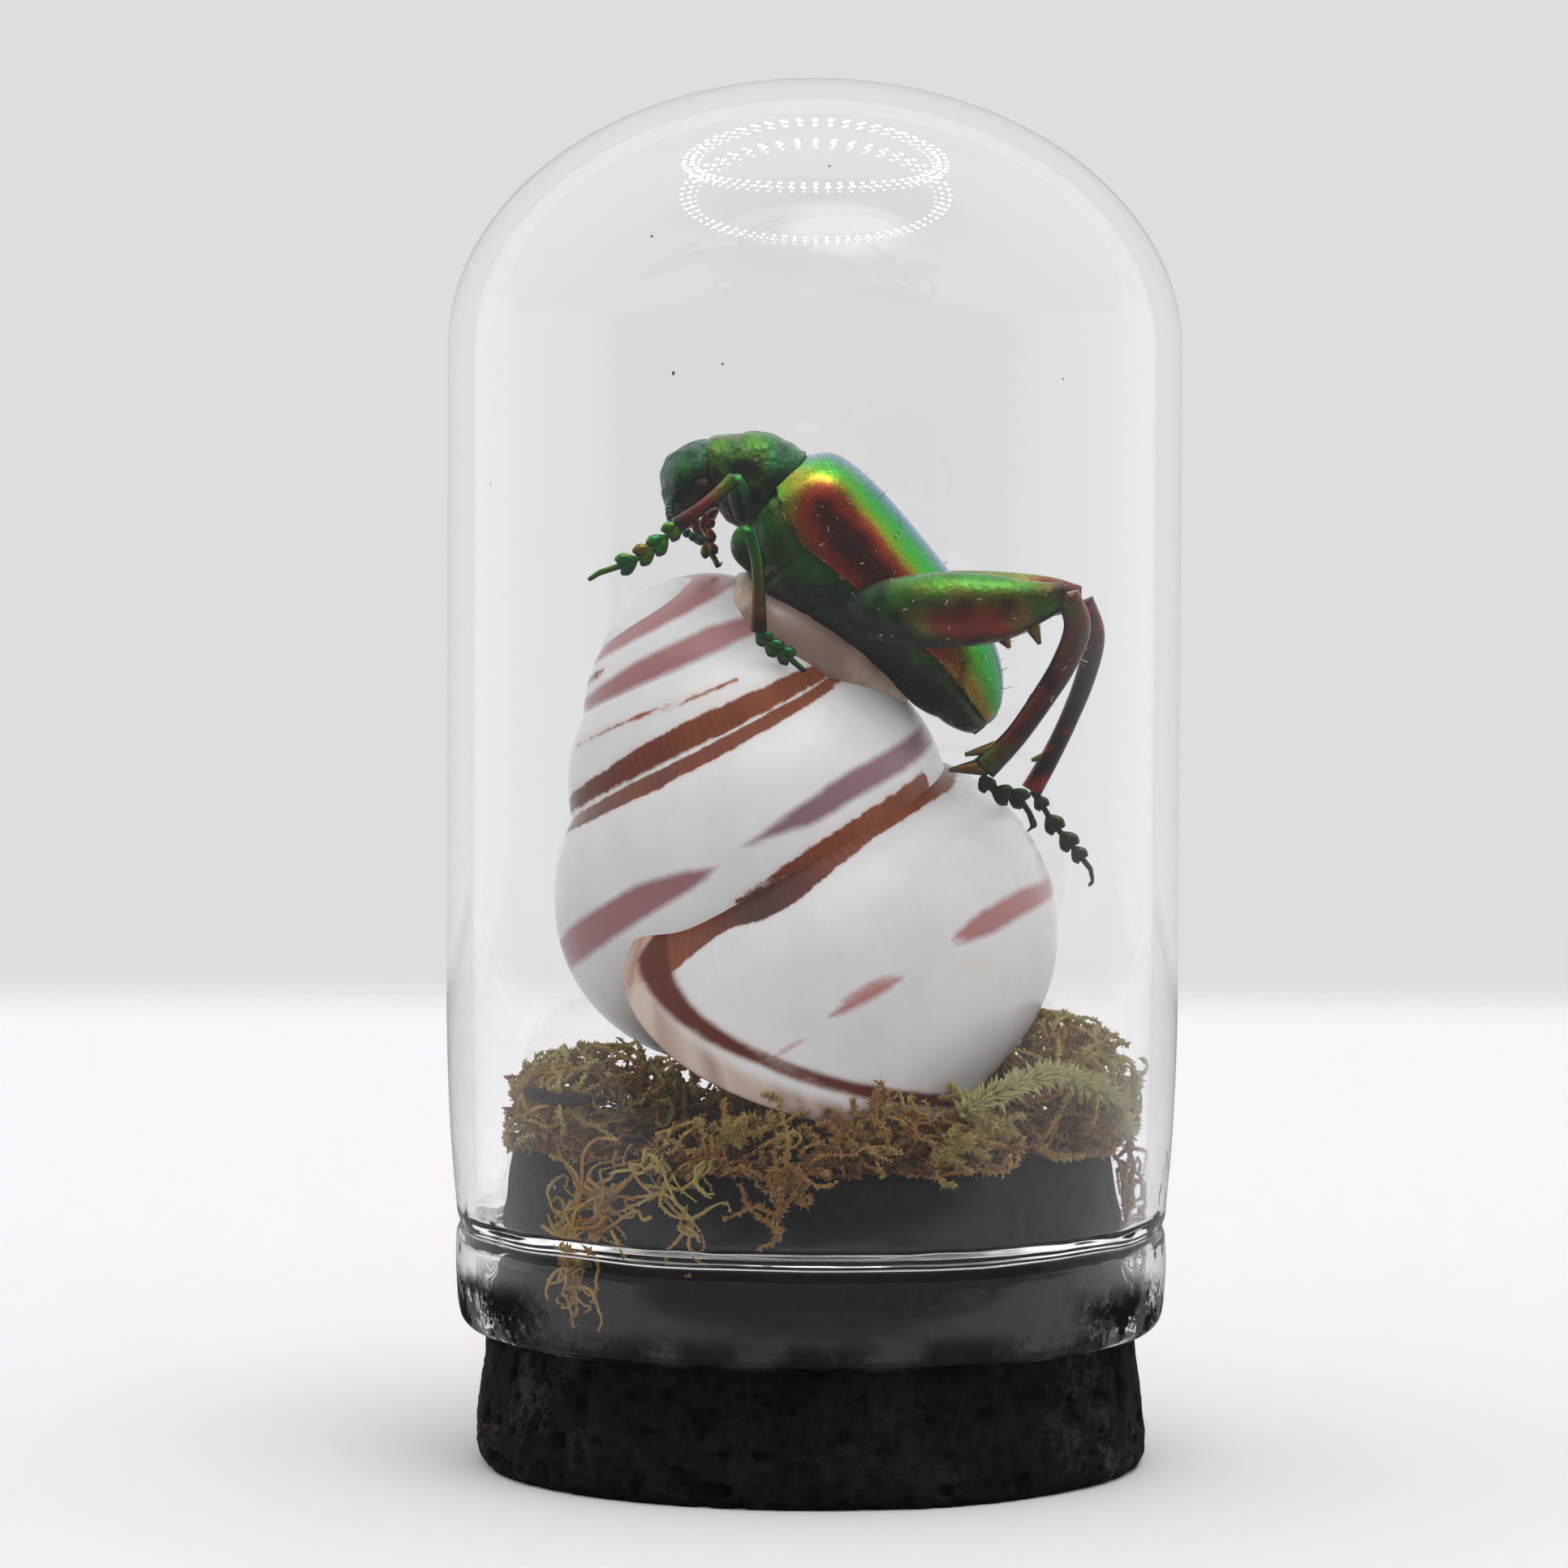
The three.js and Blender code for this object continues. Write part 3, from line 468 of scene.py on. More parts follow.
@dataclass
class SnailShell:
    """A right-handed land snail's shell, white with spiral bands, and its turned-out lip.

    The whorl is an ellipse in the half-plane through the coiling axis. At t turns from the
    lip its measures grow as size * exp(growth t + change t t).
    """

    apex: Vec = (-9.08, 1.99, 49.28)
    lean: float = 20.8
    nod: float = -3.4
    lip_angle: float = -144.6
    offset: Vec = (6.31, 0.396, -0.027)
    drop: Vec = (28.95, 0.453, 0.0425)
    width: Vec = (8.54, 0.145, -0.0108)
    tallness: tuple[float, float] = (1.036, -0.062)
    tilt: float = 11.0
    flare: float = 0.9
    lip_from: float = 100.0
    lip_sweep: tuple[float, float, float, float] = (-0.037, -0.0019, -0.00004, -0.35)
    cap: Vec = (2.5, 3.5, 0.6)
    heart: float = -20.0
    seat: float = 17.35
    rim: float = 0.5
    wall: float = 1.0
    start: float = -4.6
    around: int = 120
    brown: tuple[Band, ...] = (
        Band(((-3.0, 0.55, 0.2, 0.0), (-2.6, 0.4, 0.2, 0.0))),
        Band(((-2.62, 0.86, 0.3, 0.5), (-2.30, 0.88, 0.42, 0.2), (-2.21, 0.845, 0.6, 0.15),
              (-2.15, 0.835, 0.68, 0.2), (-2.10, 0.84, 0.66, 0.3), (-2.04, 0.865, 0.54, 0.4),
              (-1.93, 0.885, 0.36, 0.5), (-1.7, 0.9, 0.3, 0.5))),
        Band(((-2.2, 0.47, 0.06, 0.0), (-2.14, 0.44, 0.11, 0.0), (-2.09, 0.385, 0.12, 0.0),
              (-2.04, 0.355, 0.1, 0.0), (-1.95, 0.355, 0.05, 0.0))),
        Band(((-1.45, 0.05, 0.3, 0.1), (-1.31, 0.05, 0.34, 0.1), (-1.2, 0.075, 0.46, 0.2),
              (-1.09, 0.095, 0.6, 0.3), (-0.94, 0.06, 0.46, 0.4), (-0.8, 0.04, 0.3, 0.3))),
        Band(((-0.8, 0.02, 0.35, 0.3), (-0.5, 0.02, 0.45, 0.2), (-0.38, 0.01, 0.62, 0.3),
              (-0.34, 0.02, 0.62, 0.25), (-0.278, 0.0, 0.68, 0.1), (-0.235, 0.0, 0.72, 0.15),
              (-0.192, 0.02, 1.0, 0.3), (-0.17, 0.03, 1.35, 0.7), (-0.139, 0.03, 1.4, 0.8),
              (-0.116, 0.02, 0.95, 0.5), (-0.089, 0.03, 1.3, 0.15), (-0.07, 0.05, 1.7, 0.2),
              (-0.03, 0.04, 1.6, 0.2))),
        Band(((-1.32, 0.955, 0.5, 0.2), (-1.23, 0.965, 0.55, 0.1), (-1.19, 0.97, 0.45, 0.2),
              (-1.155, 0.98, 0.3, 0.4), (-1.12, 0.99, 0.15, 0.6))),
    )
    rose: tuple[Band, ...] = (
        Band(((-4.2, 0.3, 2.2, 0.1), (-3.62, 0.3, 2.2, 0.1), (-3.4, 0.1, 1.5, 0.15),
              (-3.24, 0.12, 1.25, 0.2), (-3.08, 0.12, 0.9, 0.3), (-2.9, 0.1, 0.5, 0.3))),
        Band(((-3.45, 0.86, 0.4, 0.3), (-3.28, 0.88, 0.45, 0.3), (-3.2, 0.82, 0.7, 0.3),
              (-3.08, 0.82, 0.66, 0.3), (-2.97, 0.88, 0.38, 0.3), (-2.75, 0.9, 0.35, 0.4))),
        Band(((-1.75, 0.75, 0.5, 0.8), (-1.45, 0.73, 0.5, 0.8), (-1.30, 0.73, 0.62, 0.8),
              (-1.24, 0.71, 0.66, 0.8), (-1.2, 0.735, 0.6, 0.9), (-1.172, 0.72, 0.3, 0.9),
              (-1.14, 0.735, 0.0, 0.4), (-1.125, 0.74, 0.0, 0.4), (-1.115, 0.765, 0.16, 0.6),
              (-1.095, 0.745, 0.5, 0.55), (-1.06, 0.725, 0.8, 0.5), (-0.98, 0.74, 0.9, 0.4),
              (-0.9, 0.74, 0.7, 0.4), (-0.8, 0.72, 0.4, 0.4))),
        Band(((-0.6, 0.62, 0.3, 0.1), (-0.4, 0.6, 0.42, 0.1), (-0.365, 0.595, 0.45, 0.1),
              (-0.31, 0.535, 0.62, 0.15), (-0.27, 0.51, 0.62, 0.15), (-0.246, 0.5, 0.25, 0.1))),
        Band(((-0.205, 0.5, 0.14, 0.0), (-0.19, 0.49, 0.42, 0.0), (-0.17, 0.485, 0.34, 0.0),
              (-0.158, 0.49, 0.05, 0.0))),
        Band(((-0.142, 0.505, 0.02, 0.0), (-0.133, 0.5, 0.12, 0.0), (-0.122, 0.5, 0.02, 0.0))),
    )

    def axes(self) -> tuple[Array, Array, Array]:
        """Returns the coiling axis, the direction to the back and the one to the right."""
        lean, nod = math.radians(self.lean), math.radians(self.nod)
        axis = np.array([-math.sin(lean) * math.cos(nod), -math.sin(nod), math.cos(lean) * math.cos(nod)])
        back = unit(np.array([0.0, 1.0, 0.0]) - axis[1] * axis)
        return axis, back, np.cross(back, axis)

    def section(self, turns: Array, swell: Array | float = 0.0) -> tuple[Array, Array, Array, Array]:
        """Gives the ellipse's centre radius, centre height and half-sizes.

        Args:
            turns: Turns from the lip.
            swell: Added to both half-sizes.

        Returns:
            Radius from the axis, height along it, half-width and half-height.
        """
        r, z, a = (m[0] * np.exp(m[1] * turns + m[2] * turns**2)
            for m in (self.offset, self.drop, self.width))
        b = a * (self.tallness[0] + self.tallness[1] * turns)
        swell = swell + self.cap[2] * smooth_step(self.cap[0], self.cap[1], -np.asarray(turns))
        return r, -z, a + swell, b + swell

    def on_section(self, turns: Array, theta: Array, swell: Array | float = 0.0) -> tuple[Array, Array]:
        """Gives the radius and height of points on the whorl's section.

        Args:
            turns: Turns from the lip.
            theta: Angle in the ellipse, 0 outwards and a quarter turn towards the apex.
            swell: Added to both half-sizes.

        Returns:
            Radius from the axis and height along it.
        """
        r, z, a, b = self.section(turns, swell)
        c, s = math.cos(math.radians(self.tilt)), math.sin(math.radians(self.tilt))
        x, y = a * np.cos(theta), b * np.sin(theta)
        return r + x * c - y * s, z + x * s + y * c

    def in_space(self, radius: Array, height: Array, turns: Array) -> Array:
        """Carries radius and height round the axis, and beds what is too low on the seat.

        Args:
            radius: Distance from the axis; less than 0.3 is held there.
            height: Height along the axis.
            turns: Turns from the lip.

        Returns:
            Points.
        """
        axis, back, right = self.axes()
        angle = math.radians(self.lip_angle) - FULL_TURN * turns
        out = np.cos(angle)[..., None] * right + np.sin(angle)[..., None] * back
        points = np.array(self.apex) + np.maximum(radius, 0.3)[..., None] * out + height[..., None] * axis
        points[..., 2] = np.maximum(points[..., 2], self.seat + 0.02 * (points[..., 2] - self.seat))
        return points

    def lip_turn(self, theta: Array) -> Array:
        """Finds where the lip lies at each angle of the section.

        Seen from a point on the axis, the lip sweeps back by a quadratic of the angle from
        the apex, so the place and the sweep are found in turn, four times.

        Args:
            theta: Angles in the ellipse.

        Returns:
            Turns.
        """
        first, slope, bend, most = self.lip_sweep
        turns = np.full_like(theta, first)
        for _ in range(4):
            radius, height = self.on_section(turns, theta)
            past = np.degrees(np.arctan2(np.abs(radius), height - self.heart)) - self.lip_from
            past = np.maximum(past, 0)
            turns = np.maximum(most, first + slope * past + bend * past**2)
        return turns

    def sutures(self, turns: Array) -> tuple[Array, Array, Array]:
        """Finds the section's angles at the upper and lower suture.

        The upper one is where the ellipse, followed from outside towards the apex, first
        enters the ellipse one turn earlier. The lower one is the next turn's upper one.

        Args:
            turns: Turns from the lip, in one row.

        Returns:
            Upper angle, lower angle, and the distance between them in millimetres.
        """
        c, s = math.cos(math.radians(self.tilt)), math.sin(math.radians(self.tilt))

        def upper(at: Array) -> tuple[Array, Array, Array]:
            """Returns the upper suture's angle, radius and height."""
            theta = np.linspace(0.2, 2.9, 400)[None, :]
            radius, height = self.on_section(at[:, None], theta)
            r0, z0, a0, b0 = self.section(at[:, None] - 1)
            dr, dz = radius - r0, height - z0
            inside = ((dr * c + dz * s) / a0) ** 2 + ((-dr * s + dz * c) / b0) ** 2 < 1
            first = np.where(inside.any(axis=1), np.argmax(inside, axis=1), 399)
            row = np.arange(len(at))
            return theta[0, first], radius[row, first], height[row, first]

        top = upper(turns)[0]
        _, radius, height = upper(turns + 1)
        r, z, a, b = self.section(turns)
        dr, dz = radius - r, height - z
        low = np.arctan2((-dr * s + dz * c) / b, (dr * c + dz * s) / a)
        low = np.minimum(low, top - 0.05)
        return top, low, (top - low) * (a + b) / 2

    def holds(self, points: Array, margin: float) -> Array:
        """Tells which points lie inside the last whorl or the one before it.

        Args:
            points: Any points.
            margin: How far outside the surface still counts, in millimetres.

        Returns:
            True for each point inside.
        """
        axis, back, right = self.axes()
        off = points - np.array(self.apex)
        height, x, y = off @ axis, off @ right, off @ back
        turns = np.mod(math.radians(self.lip_angle) - np.arctan2(y, x), FULL_TURN) / FULL_TURN - 1
        c, s = math.cos(math.radians(self.tilt)), math.sin(math.radians(self.tilt))
        inside = np.zeros(height.shape, bool)
        for back_by in (0, 1):
            r, z, a, b = self.section(turns - back_by, margin)
            dr, dz = np.hypot(x, y) - r, height - z
            inside |= ((dr * c + dz * s) / a) ** 2 + ((-dr * s + dz * c) / b) ** 2 < 1
        return inside

    def rings(self) -> tuple[Array, Array, Array]:
        """Works out the rows of the outside, from the apex to the lip.

        Returns:
            Turns, angles and swell, each rows x points round the section.
        """
        theta = np.linspace(math.pi, -math.pi, self.around, endpoint=False)
        early = np.linspace(self.start, -1, 260)[:, None] + 0 * theta
        share = np.linspace(0, 1, 130)[1:, None] ** 0.85
        late = -1 + share * (1 + self.lip_turn(theta))[None, :]
        turns = np.vstack([early, late])
        behind = turns - self.lip_turn(theta)[None, :]
        swell = self.flare * np.exp(-((behind / 0.03) ** 2))
        swell = swell - 1.0 * smooth_step(self.start + 0.5, self.start, turns)
        return turns, np.broadcast_to(theta, turns.shape), swell

    def surface(self) -> Surface:
        """Makes the shell: the outside, the rolled lip and the hollow behind it.

        Returns:
            The closed surface, with the pattern's places as values.
        """
        turns, theta, swell = self.rings()
        radius, height = self.on_section(turns, theta, swell)
        outside = self.in_space(radius, height, turns)
        edge_turn, edge_theta = turns[-1], theta[-1]
        middle = self.in_space(*self.on_section(edge_turn, edge_theta, self.flare - self.rim), edge_turn)
        out = unit(outside[-1] - middle)
        ahead = unit(self.in_space(*self.on_section(edge_turn + 0.01, edge_theta), edge_turn + 0.01)
            - self.in_space(*self.on_section(edge_turn - 0.01, edge_theta), edge_turn - 0.01))
        roll = np.linspace(0, math.pi, 9)[1:, None, None]
        lip = middle + self.rim * (np.cos(roll) * out + 0.8 * np.sin(roll) * ahead)
        depth = np.linspace(0, 1, 34)[1:, None]
        inner_turn = edge_turn - 0.012 - depth * (0.42 + edge_turn)
        narrow = np.sqrt(np.clip(1 - depth**3, 0, 1))
        thin = self.flare * np.exp(-((depth / 0.08) ** 2)) - self.wall
        full_r, full_z = self.on_section(inner_turn, edge_theta + 0 * depth, thin)
        centre_r, centre_z, _, _ = self.section(inner_turn)
        hollow = self.in_space(centre_r + narrow * (full_r - centre_r),
            centre_z + narrow * (full_z - centre_z), inner_turn)
        points = np.concatenate([outside, lip, hollow])
        rest = len(points) - len(outside)
        all_turns = np.vstack([turns, np.repeat(edge_turn[None], rest, axis=0)])
        all_theta = np.vstack([theta, np.repeat(edge_theta[None], rest, axis=0)])
        within = np.vstack([np.zeros_like(turns), np.linspace(0, 1, len(lip))[:, None] + 0 * lip[..., 0],
            1 + depth + 0 * inner_turn])
        values = self.pattern(all_turns, all_theta) | {"inside": within}
        return Surface.from_grid(points, values=values)

    def pattern(self, turns: Array, theta: Array) -> dict[str, Array]:
        """Says where each point lies in the shell's pattern.

        Args:
            turns: Turns from the lip.
            theta: Angles in the section.

        Returns:
            Turns, place between the sutures, and millimetres behind the lip.
        """
        knots = np.linspace(self.start, 0.0, 240)
        top, low, gap = self.sutures(knots)
        upper, lower = np.interp(turns, knots, top), np.interp(turns, knots, low)
        spacing = np.interp(turns, knots, gap)
        place = (upper - theta) / (upper - lower)
        radius, _ = self.on_section(turns, theta)
        lip = self.lip_turn(theta[-1])[None, :]
        behind = (lip - turns) * FULL_TURN * np.abs(radius)
        layers = {"turns": turns, "place": place, "behind_lip": behind}
        for name, bands in (("brown", self.brown), ("rose", self.rose)):
            reach, tint = zip(*(band.reach(turns, place, spacing) for band in bands))
            best = np.argmax(reach, axis=0)[None]
            layers[name] = np.take_along_axis(np.array(reach), best, axis=0)[0]
            layers[name + "_tint"] = np.take_along_axis(np.array(tint), best, axis=0)[0]
        centre = np.interp(place, [0.05, 0.3, 0.5, 0.75, 1.1], [1.6, 2.0, 2.4, 2.4, 2.3])
        half = np.interp(place, [0.05, 0.3, 0.5, 0.75, 1.1], [0.85, 0.5, 0.36, 0.42, 0.5])
        near_lip = half - np.abs(behind - centre) - 8 * np.maximum(0.05 - place, 0)
        layers["lip_band"] = np.where(turns > -1, near_lip, -5.0)
        return layers

    def dress(self) -> bpy.types.Material:
        """Makes the porcelain-like shell: calcite laid down in growth lines, naturally glossy.

        The bands are pigment in the shell, so they have soft, slightly jagged edges and keep
        the gloss. Growth lines lie across the whorls, about 0.25 mm apart.

        Returns:
            The material.
        """
        material, tree = blank_material("calcite_shell")
        place = add(tree, "TexCoord").outputs["Object"]
        read = {name: add(tree, "Attribute", attribute_name=name).outputs["Fac"]
            for name in ("turns", "behind_lip", "brown", "brown_tint", "rose", "rose_tint", "lip_band",
            "inside")}
        ragged = add(tree, "TexNoise", {"Vector": place, "Scale": 1 / (0.9 * MM), "Detail": 5.0,
            "Roughness": 0.7})
        cloudy = add(tree, "TexNoise", {"Vector": place, "Scale": 1 / (4 * MM), "Detail": 3.0})
        growth = add(tree, "TexNoise", {"W": read["turns"], "Scale": 330.0, "Detail": 4.0,
            "Roughness": 0.75}, noise_dimensions="1D")
        broad = add(tree, "TexNoise", {"W": read["turns"], "Scale": 26.0, "Detail": 2.0},
            noise_dimensions="1D")

        def mask(reach: bpy.types.NodeSocket, soft: float, rough: float,
            opacity: float) -> bpy.types.NodeSocket:
            """Turns millimetres inside a band's edge into how much pigment shows.

            Args:
                reach: Millimetres inside the edge.
                soft: Width of the edge, in millimetres.
                rough: How far the edge wanders, in millimetres.
                opacity: The most pigment.

            Returns:
                The share of pigment.
            """
            wander = add(tree, "Math", {0: ragged, 1: 2 * rough, 2: -rough}, operation="MULTIPLY_ADD")
            moved = add(tree, "Math", {0: reach, 1: wander}, operation="ADD")
            return add(tree, "MapRange", {0: moved, 1: -soft / 2, 2: soft / 2, 3: 0.0, 4: opacity},
                interpolation_type="SMOOTHSTEP").outputs[0]

        white = add(tree, "ValToRGB", {0: cloudy},
            stops=[(0.3, "#e4e3e6"), (0.6, "#eeecec"), (0.8, "#ebe4dc")])
        lined = add(tree, "Mix", {0: 0.16, 6: white, 7: growth.outputs["Fac"]}, data_type="RGBA",
            blend_type="SOFT_LIGHT")
        layers = lined.outputs[2]
        rose = add(tree, "ValToRGB", {0: read["rose_tint"]},
            stops=[(0.0, "#b9706c"), (0.3, "#a05a5c"), (0.9, "#7d5260")])
        layers = add(tree, "Mix", {0: mask(read["rose"], 0.5, 0.12, 0.92), 6: layers, 7: rose},
            data_type="RGBA").outputs[2]
        streaks = add(tree, "Math", {0: growth, 1: 0.7, 2: -0.3}, operation="MULTIPLY_ADD")
        stain = add(tree, "Math", {0: broad, 1: 0.3, 2: read["brown_tint"]}, operation="MULTIPLY_ADD")
        stain = add(tree, "Math", {0: stain, 1: streaks}, operation="ADD")
        brown = add(tree, "ValToRGB", {0: stain},
            stops=[(0.05, "#a25c14"), (0.3, "#823a08"), (0.6, "#661f05"), (1.0, "#3e0d04")])
        halo = add(tree, "Mix", {0: mask(read["brown"], 0.9, 0.2, 0.4), 6: layers, 7: linear("#c88c50")},
            data_type="RGBA").outputs[2]
        layers = add(tree, "Mix", {0: mask(read["brown"], 0.18, 0.28, 0.96), 6: halo, 7: brown},
            data_type="RGBA").outputs[2]
        lip_tone = add(tree, "ValToRGB", {0: broad},
            stops=[(0.35, "#b98672"), (0.48, "#dcc3b0"), (0.58, "#a87a6c"), (0.68, "#cfae9c")])
        on_lip = add(tree, "MapRange", {0: read["behind_lip"], 1: 1.7, 2: 0.8, 3: 0.0, 4: 0.85},
            interpolation_type="SMOOTHSTEP")
        near = add(tree, "Math", {0: read["turns"], 1: -1.0}, operation="GREATER_THAN")
        share = add(tree, "Math", {0: on_lip, 1: near}, operation="MULTIPLY")
        layers = add(tree, "Mix", {0: share, 6: layers, 7: lip_tone}, data_type="RGBA").outputs[2]
        layers = add(tree, "Mix", {0: mask(read["lip_band"], 0.9, 0.1, 0.5), 6: layers,
            7: linear("#b5673f")}, data_type="RGBA").outputs[2]
        layers = add(tree, "Mix", {0: mask(read["lip_band"], 0.45, 0.12, 0.97), 6: layers,
            7: linear("#5e1c04")}, data_type="RGBA").outputs[2]
        # the rolled lip's underside and the hollow behind it are mauve-brown, made darker as painted shade
        under = add(tree, "ValToRGB", {0: growth},
            stops=[(0.38, "#6b443f"), (0.5, "#a07a70"), (0.62, "#7d544c")])
        deep = add(tree, "MapRange", {0: read["inside"], 1: 0.25, 2: 0.8, 3: 0.0, 4: 1.0})
        layers = add(tree, "Mix", {0: deep, 6: layers, 7: under}, data_type="RGBA").outputs[2]
        worn = add(tree, "Math", {0: mask(read["brown"], 0.3, 0.1, 1.0),
            1: mask(read["lip_band"], 0.3, 0.1, 1.0)}, operation="MAXIMUM")
        gloss = add(tree, "MapRange", {0: worn, 3: 0.4, 4: 0.12})
        relief = add(tree, "Bump", {"Height": growth, "Strength": 0.5, "Distance": 0.05 * MM})
        pock = add(tree, "Bump", {"Height": ragged, "Strength": 0.3, "Distance": 0.09 * MM,
            "Normal": relief})
        wavy = add(tree, "Bump", {"Height": cloudy, "Strength": 0.3, "Distance": 0.25 * MM, "Normal": pock})
        shader = add(tree, "BsdfPrincipled", {"Base Color": layers, "Roughness": 0.15, "IOR": 1.5,
            "Specular IOR Level": gloss, "Normal": wavy, "Subsurface Weight": 0.06,
            "Subsurface Scale": 0.6 * MM})
        add(tree, "OutputMaterial", {0: shader})
        return material

    def make(self) -> bpy.types.Object:
        """Builds and dresses the shell, and returns it."""
        return self.surface().build("banded_snail_shell", self.dress(), "snail_shell", ("snail_shell",))


# ------------------------------------------------------------------ glass dome
@dataclass
class GlassDome:
    """A blown glass dome, 38 mm wide and 72 mm high, with a pressed ring and a rim turned in."""

    radius: float = 19.0
    wall: float = 1.3
    crown_from: float = 58.0
    crown_rise: float = 14.0
    crown_wall: float = 1.1
    ring_height: float = 12.5
    segments: int = 224

    def profile(self) -> Array:
        """Works out the wall's closed section.

        The crown is a quarter ellipse. Down from it the wall is a smooth curve through
        stations, and the pressed ring is two bell curves that stand in from the wall.

        Returns:
            Rows of radius and height, down the outside and up the inside.
        """
        turn = np.linspace(0, math.pi / 2, 56)
        outer_crown = np.stack([self.radius * np.sin(turn),
            self.crown_from + self.crown_rise * np.cos(turn)], -1)
        inner = self.radius - self.wall
        inner_crown = np.stack([inner * np.sin(turn),
            self.crown_from + (self.crown_rise - self.crown_wall) * np.cos(turn)], -1)
        outside = smooth_rows([[19.0, 57.6], [19.0, 45], [19.0, 33], [18.99, 23], [18.8, 17.6],
            [18.55, 14.2], [18.47, 12.4], [18.5, 10.6], [18.4, 8.7]], 120)
        outside[:, 0] -= 0.16 * np.exp(-(((outside[:, 1] - self.ring_height) / 0.35) ** 2))
        rim = smooth_rows([[18.38, 8.5], [18.22, 7.75], [17.85, 7.3], [17.45, 7.2], [17.16, 7.42],
            [17.2, 7.9], [17.38, 8.6]], 40)
        inside = smooth_rows([[17.4, 8.8], [17.42, 10.4], [17.4, 12.4], [17.42, 14.2], [17.55, 17.6],
            [17.69, 23], [17.7, 33], [17.7, 45], [17.7, 57.6]], 160)
        inside[:, 0] -= 0.42 * np.exp(-(((inside[:, 1] - self.ring_height - 0.35) / 0.3) ** 2))
        inside[:, 0] -= 0.34 * np.exp(-(((inside[:, 1] - self.ring_height + 0.45) / 0.26) ** 2))
        outside[:, 0] = np.minimum(outside[:, 0], self.radius)
        return np.vstack([outer_crown, outside, rim, inside, inner_crown[::-1]])

    def surface(self) -> Surface:
        """Turns the section about the axis and lets the pressed ring waver a little."""
        ring = lathe(self.profile(), self.segments)
        near = np.exp(-(((ring.points[:, 2] - self.ring_height) / 1.4) ** 2))
        ring.points[:, 2] += near * 0.16 * lattice_noise(ring.points * [1, 1, 0.2], 4.0, 3)
        ring.points[:, :2] *= (1 - near * 0.003 * (1 + lattice_noise(ring.points, 1.6, 5)))[:, None]
        return ring

    def dress(self) -> bpy.types.Material:
        """Makes the soda-lime glass: clear, faintly green where it is thick, with old smears.

        Ink from the stained cork has dried inside the wall near the rim, as broken flecks at
        the sides and a thin grey film, and a few dust specks lie on the wall.

        Returns:
            The material.
        """
        material, tree = blank_material("soda_lime_glass")
        place = add(tree, "TexCoord").outputs["Object"]
        axes = add(tree, "SeparateXYZ", {0: place})
        glass = add(tree, "BsdfPrincipled", {"Base Color": linear("#ffffff"), "Roughness": 0.0, "IOR": 1.5,
            "Transmission Weight": 1.0})
        flecks = add(tree, "TexNoise", {"Vector": place, "Scale": 1 / (0.34 * MM), "Detail": 6.0,
            "Roughness": 0.75})
        patches = add(tree, "TexNoise", {"Vector": place, "Scale": 1 / (2.4 * MM), "Detail": 2.0})
        low = add(tree, "MapRange", {0: axes.outputs[2], 1: 10.9 * MM, 2: 9.4 * MM},
            interpolation_type="SMOOTHSTEP")
        side = add(tree, "Math", {0: axes}, operation="ABSOLUTE")
        flank = add(tree, "MapRange", {0: side, 1: 12.6 * MM, 2: 15.6 * MM},
            interpolation_type="SMOOTHSTEP")
        total = add(tree, "Math", {0: flecks, 1: 0.8, 2: patches}, operation="MULTIPLY_ADD")
        broken = add(tree, "MapRange", {0: total, 1: 0.88, 2: 0.92})
        ink = add(tree, "Math", {0: low, 1: flank}, operation="MULTIPLY")
        ink = add(tree, "Math", {0: ink, 1: broken}, operation="MULTIPLY")
        foot = add(tree, "MapRange", {0: axes.outputs[2], 1: 9.3 * MM, 2: 7.9 * MM},
            interpolation_type="SMOOTHSTEP")
        film = add(tree, "MapRange", {0: total, 1: 0.8, 2: 1.0, 3: 0.0, 4: 0.5})
        grey = add(tree, "Math", {0: foot, 1: film}, operation="MULTIPLY")
        soil = add(tree, "Math", {0: ink, 1: grey}, operation="MAXIMUM")
        dirt = add(tree, "BsdfPrincipled", {"Base Color": linear("#0d0b0c"), "Roughness": 0.9,
            "Specular IOR Level": 0.1})
        specks = add(tree, "TexVoronoi", {"Vector": place, "Scale": 1 / (7.0 * MM)})
        speck = add(tree, "Math", {0: specks.outputs["Distance"], 1: 0.016}, operation="LESS_THAN")
        dust = add(tree, "BsdfPrincipled", {"Base Color": linear("#8f867c"), "Roughness": 0.9})
        shader = add(tree, "MixShader", {0: soil, 1: glass, 2: dirt})
        shader = add(tree, "MixShader", {0: speck, 1: shader, 2: dust})
        tint = add(tree, "VolumeAbsorption", {"Color": linear("#bfe0c6"), "Density": 30.0})
        add(tree, "OutputMaterial", {0: shader, 1: tint})
        return material

    def make(self) -> bpy.types.Object:
        """Builds and dresses the dome, and returns it."""
        return self.surface().build("clear_glass_dome", self.dress(), "clear_glass", ("glass_dome",))


